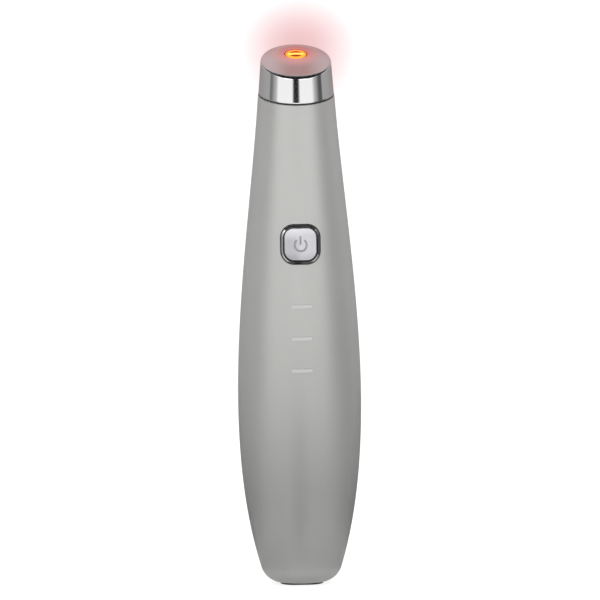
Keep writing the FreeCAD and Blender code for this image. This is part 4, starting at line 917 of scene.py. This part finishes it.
def frame_plating(finish, colours):
    """Mirror plating with a breath of haze, and painted shade: dark lines along both of its edges,
    where it meets the case and by the button's gap.

    The lines go by the distance to the frame's outline, a rounded square.
    """
    metal = tuple(colours.metal)
    sizes = bpy.context.scene.wand_sizes
    x, _, z = finish.split(finish.place())
    straight = FRAME_HALF - FRAME_CORNER
    reach = finish.distance((abs(x) - straight).highest(0.0),
                            (abs(z - BUTTON_HEIGHT) - straight).highest(0.0))
    soft = 0.03 * MM
    outer = FRAME_CORNER - sizes.outer_shade_width
    inner = FRAME_CORNER - FRAME_RING + sizes.frame_throat
    # Painted shade: black, dull lines at the frame's outer and inner edge
    painted_gap_shade = finish.step(reach, outer - soft, outer + soft).highest(
        finish.step(reach, inner + soft, inner - soft))
    haze = finish.noise(0.7 * MM, 3.0)
    plate = finish.blend(haze, shaded(metal, 0.94), metal)
    finish.surface(Base_Color=finish.blend(painted_gap_shade, plate, (0.02, 0.02, 0.02)),
                   Metallic=1.0 - painted_gap_shade, Roughness=0.06 + 0.04 * haze + 0.30 * painted_gap_shade,
                   Normal=finish.bump(haze, 0.0008 * MM, 0.15))


def button_plating(finish, colours):
    """Satin plating: fine lengthwise brushing; the power sign's groove is darker and duller.

    Painted reflection: the face is a little brighter along the top, and darker at the foot and on
    the left.
    """
    base = tuple(colours.button)
    sizes = bpy.context.scene.wand_sizes
    x, _, z = finish.split(finish.place())
    z = z - (BUTTON_HEIGHT - SIGN_BELOW)
    reach = finish.distance(x, z)
    line = sizes.sign_line / 2
    soft = 0.04 * MM
    ring = finish.step(abs(reach - sizes.sign_half), line + soft, line - soft)
    opening = finish.step(z - abs(x) * (1 / math.tan(SIGN_GAP)), soft, -soft)
    bar_middle = (SIGN_BAR_TOP + SIGN_BAR_LOW) / 2
    bar_half = (SIGN_BAR_TOP - SIGN_BAR_LOW) / 2
    bar = (finish.step(abs(x), line + soft, line - soft)
           * finish.step(abs(z - bar_middle), bar_half + soft, bar_half - soft))
    sign = (ring * opening).highest(bar)
    brushed = finish.noise(0.25 * MM, 3.0, finish.node(
        "ShaderNodeMapping", None, {"Vector": finish.place(), "Scale": (8.0, 1.0, 0.6)}))
    # Painted reflection: brighter along the top, darker at the foot and on the left
    top = finish.step(z, 2.2 * MM, 3.8 * MM)
    foot = finish.step(z, -1.4 * MM, -3.4 * MM)
    left = finish.step(x, 0.6 * MM, -1.6 * MM) * finish.step(z, 2.8 * MM, 1.0 * MM)
    level = 0.89 + 0.07 * brushed + 0.14 * top - 0.14 * foot - 0.18 * left
    tone = finish.blend(level * (1 / 1.1), (0.0, 0.0, 0.0), shaded(base, 1.1))
    tone = finish.blend(sign, tone, (0.42, 0.42, 0.43))
    finish.surface(Base_Color=tone, Metallic=0.85 - 0.35 * sign,
                   Roughness=0.30 + 0.08 * brushed + 0.15 * sign,
                   Normal=finish.bump(brushed, 0.002 * MM, 0.3))


def guide_plastic(finish, colours):
    """Frosted clear plastic: a milky tone with fine clouds under a soft gloss."""
    cloud = finish.noise(1.2 * MM, 3.0)
    frost = finish.noise(0.15 * MM, 2.0)
    finish.surface(Base_Color=finish.blend(cloud, (0.60, 0.61, 0.61), (0.66, 0.67, 0.67)),
                   Roughness=0.34 + 0.10 * frost, Normal=finish.bump(frost, 0.003 * MM, 0.4))


# slots of the carried-over pieces: metallic, roughness, size of the grain, depth of the grain
GRAINS = {
    "seal_black": (0.0, 0.62, 0.25, 0.010),
    "carrier_white": (0.0, 0.55, 0.60, 0.006),
    "board_green": (0.0, 0.38, 1.30, 0.004),
    "led_white": (0.0, 0.25, 0.40, 0.002),
    "film_copper": (0.7, 0.40, 0.50, 0.004),
    "chip_black": (0.0, 0.50, 0.20, 0.006),
    "lead_red": (0.0, 0.42, 0.50, 0.004),
    "lead_blue": (0.0, 0.42, 0.50, 0.004),
    "plunger_cream": (0.0, 0.45, 0.40, 0.004),
    "steel": (1.0, 0.28, 0.35, 0.003),
    "passive_tan": (0.0, 0.50, 0.30, 0.004),
    "foot_black": (0.0, 0.48, 0.30, 0.008),
    "cell_wrap": (0.0, 0.25, 2.00, 0.004),
    "nickel": (1.0, 0.32, 0.40, 0.003),
    "foam": (0.0, 0.85, 0.35, 0.050),
    "sleeve_rubber": (0.0, 0.60, 0.30, 0.010),
    "tungsten": (1.0, 0.48, 0.30, 0.008),
}
OWN_FINISHES = {
    "shell_grey": case_lacquer,
    "head_metal": head_polish,
    "lens_amber": window_glow,
    "frame_chrome": frame_plating,
    "button_silver": button_plating,
    "guide_clear": guide_plastic,
}
BASES = {entry["slot"]: tuple(entry["base_color"][:3]) for entry in frame["record"]["materials"]}


def grained(finish, slot):
    """Plain moulded or metal finish: grain in tone, roughness and relief."""
    metallic, roughness, size, depth = GRAINS[slot]
    base = BASES[slot]
    grain = finish.noise(size * MM, 3.0)
    cloud = finish.noise(6 * MM, 2.0)
    tone = finish.blend(cloud, shaded(base, 0.92), shaded(base, 1.06))
    tone = finish.blend(grain * 0.25, tone, shaded(base, 1.25))
    finish.surface(Base_Color=tone, Metallic=metallic,
                   Roughness=roughness - 0.05 + 0.10 * grain,
                   Normal=finish.bump(grain, depth * MM, 0.5))


def finish_of(slot):
    """The slot's material, made once."""
    name = slot + "_finish"
    if name not in bpy.data.materials:
        material = bpy.data.materials.new(name)
        finish = Finish(material)
        if slot in OWN_FINISHES:
            OWN_FINISHES[slot](finish, bpy.context.scene.wand_colours)
        else:
            grained(finish, slot)
    return bpy.data.materials[name]


def wear(thing, slot):
    """Give a piece its slot's finish."""
    thing.data.materials.clear()
    thing.data.materials.append(finish_of(slot))


class WAND_OT_finishes(bpy.types.Operator):
    """Finishes of the pieces that are carried over from the frame"""
    bl_idname = "wand.finishes"
    bl_label = "Finishes"

    def execute(self, context):
        slots = {entry["node"]: entry["material_slot"] for entry in frame["record"]["subparts"]}
        for name, node in frame["nodes"].items():
            wear(node, slots[name])
        return {"FINISHED"}


# ------------------------------------------------------------------ the studio

CAMERA_AZIMUTH = math.radians(-3.4)
CAMERA_ELEVATION = math.radians(6.3)
CAMERA_ROLL = math.radians(-0.66)
CAMERA_DISTANCE = 3.0
FRAME_TALL = 155.8 * MM
AIM = Vector((0.4 * MM, 0.0, 74.1 * MM))
TENT_RADIUS = 0.42
TENT_TALL = 0.75
# brightness of the tent in mirrors, by the angle round it from the camera's side, in degrees:
# at the head's height, and below it
HEAD_STOPS = [(-180, 0.33), (-89, 0.38), (-86, 0.17), (-80, 0.17), (-62, 0.55), (-56, 1.0),
              (50, 1.0), (57, 0.55), (74, 0.09), (84, 0.08), (88, 0.38), (180, 0.33)]
CASE_STOPS = [(-180, 0.33), (-92, 0.33), (-86, 0.28), (-60, 0.28), (-55, 0.85), (-50, 1.0),
              (48, 1.0), (54, 0.40), (60, 0.05), (98, 0.05), (106, 0.33), (180, 0.33)]
CASE_TOP = (0.118, 0.128)
# a slit in the cloth ahead: dark at the head's height, a glint below it
SLIT_ANGLE = (math.radians(2.0), math.radians(13.0))
SLIT_LOW = (0.132, 0.140)
SLIT_FOOT = (0.060, 0.075)
SLIT_GLINT = 1.0
SLIT_REACH = (0.03, 0.05)
# the cloth's upper edge, ahead and at the corners, and the brighter band below it
CLOTH_TOP = 0.36
CORNER_TOP = 0.25
CORNER_ANGLE = (math.radians(25), math.radians(40))
EDGE_SOFT = 0.03
CEILING_LEVEL = 0.02
UPPER_CLOTH = (0.16, 0.20)
UPPER_GAIN = 0.6
# the tent as soft light: behind and ahead, low down and at SOFT_TALL, and what the sides lose
# low down and gain above
TENT_SOFT = (0.60, 1.12)
SOFT_ANGLE = (math.radians(140), math.radians(50))
SOFT_RISE = (0.78, 0.46)
SOFT_TALL = 0.25
SIDE_ANGLE = (math.radians(60), math.radians(110))
RIGHT_ANGLE = (math.radians(50), math.radians(100))
SIDE_LOW = (0.20, 0.06)
SIDE_HIGH = (0.14, 0.25)
SIDE_LOSS = 0.75
RIGHT_LOSS = 0.15
SIDE_GAIN = 0.42
# brightness of the floor card in mirrors, by the distance from the wand's axis
CARD_STOPS = [(0.0, 0.6), (0.014, 0.6), (0.018, 0.30), (0.040, 0.42), (0.065, 0.42),
              (0.075, 0.084), (0.125, 0.084), (0.135, 0.50), (0.42, 0.50)]
CARD_LOSS = 0.75
CARD_BEHIND = (math.radians(65), math.radians(85))
CARD_REACH = (0.03, 0.06)
CARD_HEIGHT = 0.2 * MM
# the floor: its share of light on the foot, the paper's grey, and the light it shows to the eye
FLOOR_HALF = 6.0
FLOOR_NEAR = (0.026, 0.016)
FLOOR_SHARE = 0.16
PAPER_GREY = 0.35
FLOOR_LIGHT = (0.80, 0.10)
FLOOR_FAR = (0.15, 0.35)
WORLD_LIGHT = (0.75, 0.25)
# the haze round the head: its stretch below and above its middle, and how thin it is in front
HALO_RADIUS = 26.5 * MM
HALO_PLACE = (1.2 * MM, 2.0 * MM, 139.8 * MM)
HALO_FLAT = (0.85, 1.2)
HALO_FRONT = 0.2
HALO_BACK = (-6 * MM, 9 * MM)
HALO_DENSITY = 54.0
HALO_COLOUR = (0.60, 0.0, 0.02)


def background_rays(finish):
    """1 for rays that should see the plain white background: camera, mirror and glass rays."""
    rays = [finish.node("ShaderNodeLightPath", output=name)
            for name in ("Is Camera Ray", "Is Glossy Ray", "Is Transmission Ray")]
    return rays[0].highest(rays[1]).highest(rays[2])


def mirror_light(finish, where, angle, low):
    """Brightness of the tent in mirrors: its cloth by angle and height, and the card below."""
    x, y, z = where
    turn = angle * (0.5 / HALF_TURN) + 0.5
    low_cloth, cloth = [finish.ramp([(0.5 + place / 360, level) for place, level in stops], turn)
                        for stops in (CASE_STOPS, HEAD_STOPS)]
    cloth = low_cloth + finish.step(z, *CASE_TOP) * (cloth - low_cloth)
    open_share = finish.step(abs(angle), *SLIT_ANGLE)
    slit = 1 - open_share * open_share * (0.4 + 0.6 * open_share)
    above = finish.step(z, *SLIT_LOW)
    between = finish.step(z, *SLIT_FOOT) * (1 - above)
    cloth = cloth * (1 + slit * (SLIT_GLINT * between - above))
    corner = finish.step(abs(angle), *CORNER_ANGLE)
    edge = CLOTH_TOP + corner * (CORNER_TOP - CLOTH_TOP)
    high = finish.step(z - edge, 0.0, EDGE_SOFT)
    band = 1 + UPPER_GAIN * finish.step(z, *UPPER_CLOTH)
    seen = cloth * band * (1 - high) + CEILING_LEVEL
    reach = finish.node("ShaderNodeMath", {"operation": "SQRT"}, {0: x * x + y * y})
    card = finish.ramp([(place / TENT_RADIUS, level) for place, level in CARD_STOPS],
                       reach * (1 / TENT_RADIUS))
    behind = finish.step(abs(angle), *CARD_BEHIND)
    card = card * (1 - CARD_LOSS * behind * finish.step(reach, *CARD_REACH))
    card = card * (1 - slit * finish.step(reach, *SLIT_REACH))
    return seen + low * (card - seen)


def soft_light(finish, z, angle):
    """Brightness of the tent as soft light: stronger ahead and above, weaker low at the sides."""
    soft = finish.step(abs(angle), *SOFT_ANGLE)
    soft = TENT_SOFT[0] + soft * (TENT_SOFT[1] - TENT_SOFT[0])
    sides = finish.step(abs(angle), *SIDE_ANGLE)
    soft = soft * (SOFT_RISE[0] + SOFT_RISE[1] * finish.step(z, 0.0, SOFT_TALL))
    right = finish.step(angle, *RIGHT_ANGLE)
    loss = (SIDE_LOSS * sides + RIGHT_LOSS * right) * finish.step(z, *SIDE_LOW)
    soft = soft * (1 - loss)
    return soft * (1 + SIDE_GAIN * sides * finish.step(z, *SIDE_HIGH))


class WAND_OT_stage(bpy.types.Operator):
    """Pale floor, white background, round light tent and camera"""
    bl_idname = "wand.stage"
    bl_label = "Stage"

    def execute(self, context):
        scene = context.scene
        scene.view_settings.view_transform = "Standard"
        self.world(scene)
        self.floor()
        self.tent()
        self.halo()
        self.camera(scene)
        return {"FINISHED"}

    def world(self, scene):
        scene.world = bpy.data.worlds.new("studio_world")
        finish = Finish(scene.world)
        scene.world.cycles.sampling_method = "NONE"
        level = WORLD_LIGHT[0] + WORLD_LIGHT[1] * background_rays(finish)
        shade = finish.node("ShaderNodeBackground", None, {"Color": (1, 1, 1), "Strength": level})
        finish.node("ShaderNodeOutputWorld", None, {"Surface": shade})

    def floor(self):
        corners = FLOOR_HALF * np.array([(-1, -1, 0), (1, -1, 0), (1, 1, 0), (-1, 1, 0)])
        mesh = bpy.data.meshes.new("floor")
        mesh.from_pydata(corners, [], [(0, 1, 2, 3)])
        floor = bpy.data.objects.new("floor", mesh)
        bpy.context.scene.collection.objects.link(floor)
        material = bpy.data.materials.new("floor_paper")
        finish = Finish(material)
        x, y = finish.split(finish.place())[:2]
        reach = finish.node("ShaderNodeMath", {"operation": "SQRT"}, {0: x * x + y * y})
        near = finish.step(reach, *FLOOR_NEAR) * finish.node("ShaderNodeLightPath",
                                                             output="Is Diffuse Ray")
        near = near * FLOOR_SHARE
        paper = finish.node("ShaderNodeBsdfDiffuse", None, {"Color": (PAPER_GREY,) * 3})
        level = FLOOR_LIGHT[0] + FLOOR_LIGHT[1] * finish.step(reach, *FLOOR_FAR)
        pale = finish.node("ShaderNodeEmission", None, {"Color": (1, 1, 1), "Strength": level})
        lit = finish.node("ShaderNodeAddShader", None, {0: paper, 1: pale})
        shade = finish.node("ShaderNodeMixShader", None,
                            {0: background_rays(finish).highest(near), 1: paper, 2: lit})
        finish.node("ShaderNodeOutputMaterial", None, {"Surface": shade})
        mesh.materials.append(material)

    def tent(self):
        """Round wall, ceiling and floor card, seen only by mirrors and by soft light."""
        around = np.linspace(0, 2 * HALF_TURN, 181)
        rows = [(CARD_HEIGHT, 0.0), (CARD_HEIGHT, TENT_RADIUS), (TENT_TALL, TENT_RADIUS),
                (TENT_TALL, 0.0)]
        grid = np.stack([on_ring(radius, height, around) for height, radius in rows])
        mesh = bpy.data.meshes.new("light_tent")
        mesh.from_pydata(grid.reshape(-1, 3), [], quads(*grid.shape[:2]))
        tent = bpy.data.objects.new("light_tent", mesh)
        bpy.context.scene.collection.objects.link(tent)
        tent.visible_camera = False
        tent.visible_shadow = False
        material = bpy.data.materials.new("tent_cloth")
        material.cycles.emission_sampling = "NONE"
        finish = Finish(material)
        x, y, z = finish.split(finish.place())
        ahead = (math.sin(CAMERA_AZIMUTH), -math.cos(CAMERA_AZIMUTH))
        along = x * ahead[0] + y * ahead[1]
        aside = y * ahead[0] - x * ahead[1]
        angle = finish.node("ShaderNodeMath", {"operation": "ARCTAN2"}, {0: aside, 1: along})
        low = z < 2 * CARD_HEIGHT
        seen = mirror_light(finish, (x, y, z), angle, low)
        soft = soft_light(finish, z, angle)
        diffuse = finish.node("ShaderNodeLightPath", output="Is Diffuse Ray")
        level = seen + diffuse * (soft - seen)
        glow = finish.node("ShaderNodeEmission", None, {"Color": (1, 1, 1), "Strength": level})
        clear = finish.node("ShaderNodeBsdfTransparent", None, {"Color": (1, 1, 1)})
        shade = finish.node("ShaderNodeMixShader", None, {0: low * diffuse, 1: glow, 2: clear})
        finish.node("ShaderNodeOutputMaterial", None, {"Surface": shade})
        mesh.materials.append(material)

    def halo(self):
        """Ball of haze round the head that takes the colour of its light.

        It is air and no piece of the wand, though it is placed on the head. Its density goes with
        the fourth power of one minus the squared share of its radius, reaches further below its
        middle than above, and is thinner in front.
        """
        polar = np.linspace(0, HALF_TURN, 25)[:, None]
        around = np.linspace(0, 2 * HALF_TURN, 49)[None, :]
        grid = HALO_RADIUS * np.stack(np.broadcast_arrays(
            np.sin(polar) * np.cos(around), np.sin(polar) * np.sin(around), np.cos(polar)), axis=-1)
        halo = piece("halo", grid + np.array(HALO_PLACE), quads(25, 49))
        material = bpy.data.materials.new("halo_haze")
        finish = Finish(material)
        x, y, z = finish.split(finish.place())
        rise = z - HALO_PLACE[2]
        rise = rise * (HALO_FLAT[0] + (HALO_FLAT[1] - HALO_FLAT[0]) * (rise > 0.0))
        share = finish.distance(x - HALO_PLACE[0], y - HALO_PLACE[1], rise) / HALO_RADIUS
        depth = (1 - share * share).highest(0.0)
        behind = HALO_FRONT + (1 - HALO_FRONT) * finish.step(y, *HALO_BACK)
        density = depth * depth * depth * depth * behind * HALO_DENSITY
        haze = finish.node("ShaderNodeVolumeAbsorption", None,
                           {"Color": HALO_COLOUR, "Density": density})
        finish.node("ShaderNodeOutputMaterial", None, {"Volume": haze})
        halo.data.materials.append(material)

    def camera(self, scene):
        data = bpy.data.cameras.new("camera")
        data.sensor_width = 36.0
        data.lens = data.sensor_width * CAMERA_DISTANCE / FRAME_TALL
        data.clip_end = 50.0
        camera = bpy.data.objects.new("camera", data)
        scene.collection.objects.link(camera)
        back = Vector((math.sin(CAMERA_AZIMUTH) * math.cos(CAMERA_ELEVATION),
                       -math.cos(CAMERA_AZIMUTH) * math.cos(CAMERA_ELEVATION),
                       math.sin(CAMERA_ELEVATION)))
        camera.location = AIM + back * CAMERA_DISTANCE
        camera.rotation_mode = "QUATERNION"
        turn = (-back).to_track_quat("-Z", "Y")
        camera.rotation_quaternion = turn @ Quaternion((0, 0, 1), CAMERA_ROLL)
        scene.camera = camera


# ------------------------------------------------------------------ panel and registration


class WAND_PT_panel(bpy.types.Panel):
    """Buttons and settings of the wand"""
    bl_idname = "WAND_PT_panel"
    bl_label = "Eye massager wand"
    bl_space_type = "VIEW_3D"
    bl_region_type = "UI"
    bl_category = "Wand"

    def draw(self, context):
        for settings in (context.scene.wand_sizes, context.scene.wand_colours):
            for name in settings.bl_rna.properties.keys():
                if name not in {"rna_type", "name"}:
                    self.layout.prop(settings, name)
        for operator in OPERATORS:
            self.layout.operator(operator.bl_idname)


OPERATORS = (WAND_OT_case, WAND_OT_head, WAND_OT_window, WAND_OT_button_frame,
             WAND_OT_power_button, WAND_OT_finishes, WAND_OT_stage)
CLASSES = (WandSizes, WandColours, *OPERATORS, WAND_PT_panel)


def register():
    for one in CLASSES:
        bpy.utils.register_class(one)
    bpy.types.Scene.wand_sizes = bpy.props.PointerProperty(type=WandSizes)
    bpy.types.Scene.wand_colours = bpy.props.PointerProperty(type=WandColours)


def unregister():
    del bpy.types.Scene.wand_colours
    del bpy.types.Scene.wand_sizes
    for one in reversed(CLASSES):
        bpy.utils.unregister_class(one)


def main():
    register()
    for operator in OPERATORS:
        group, name = operator.bl_idname.split(".")
        getattr(getattr(bpy.ops, group), name)()


if __name__ == "__main__":
    main()
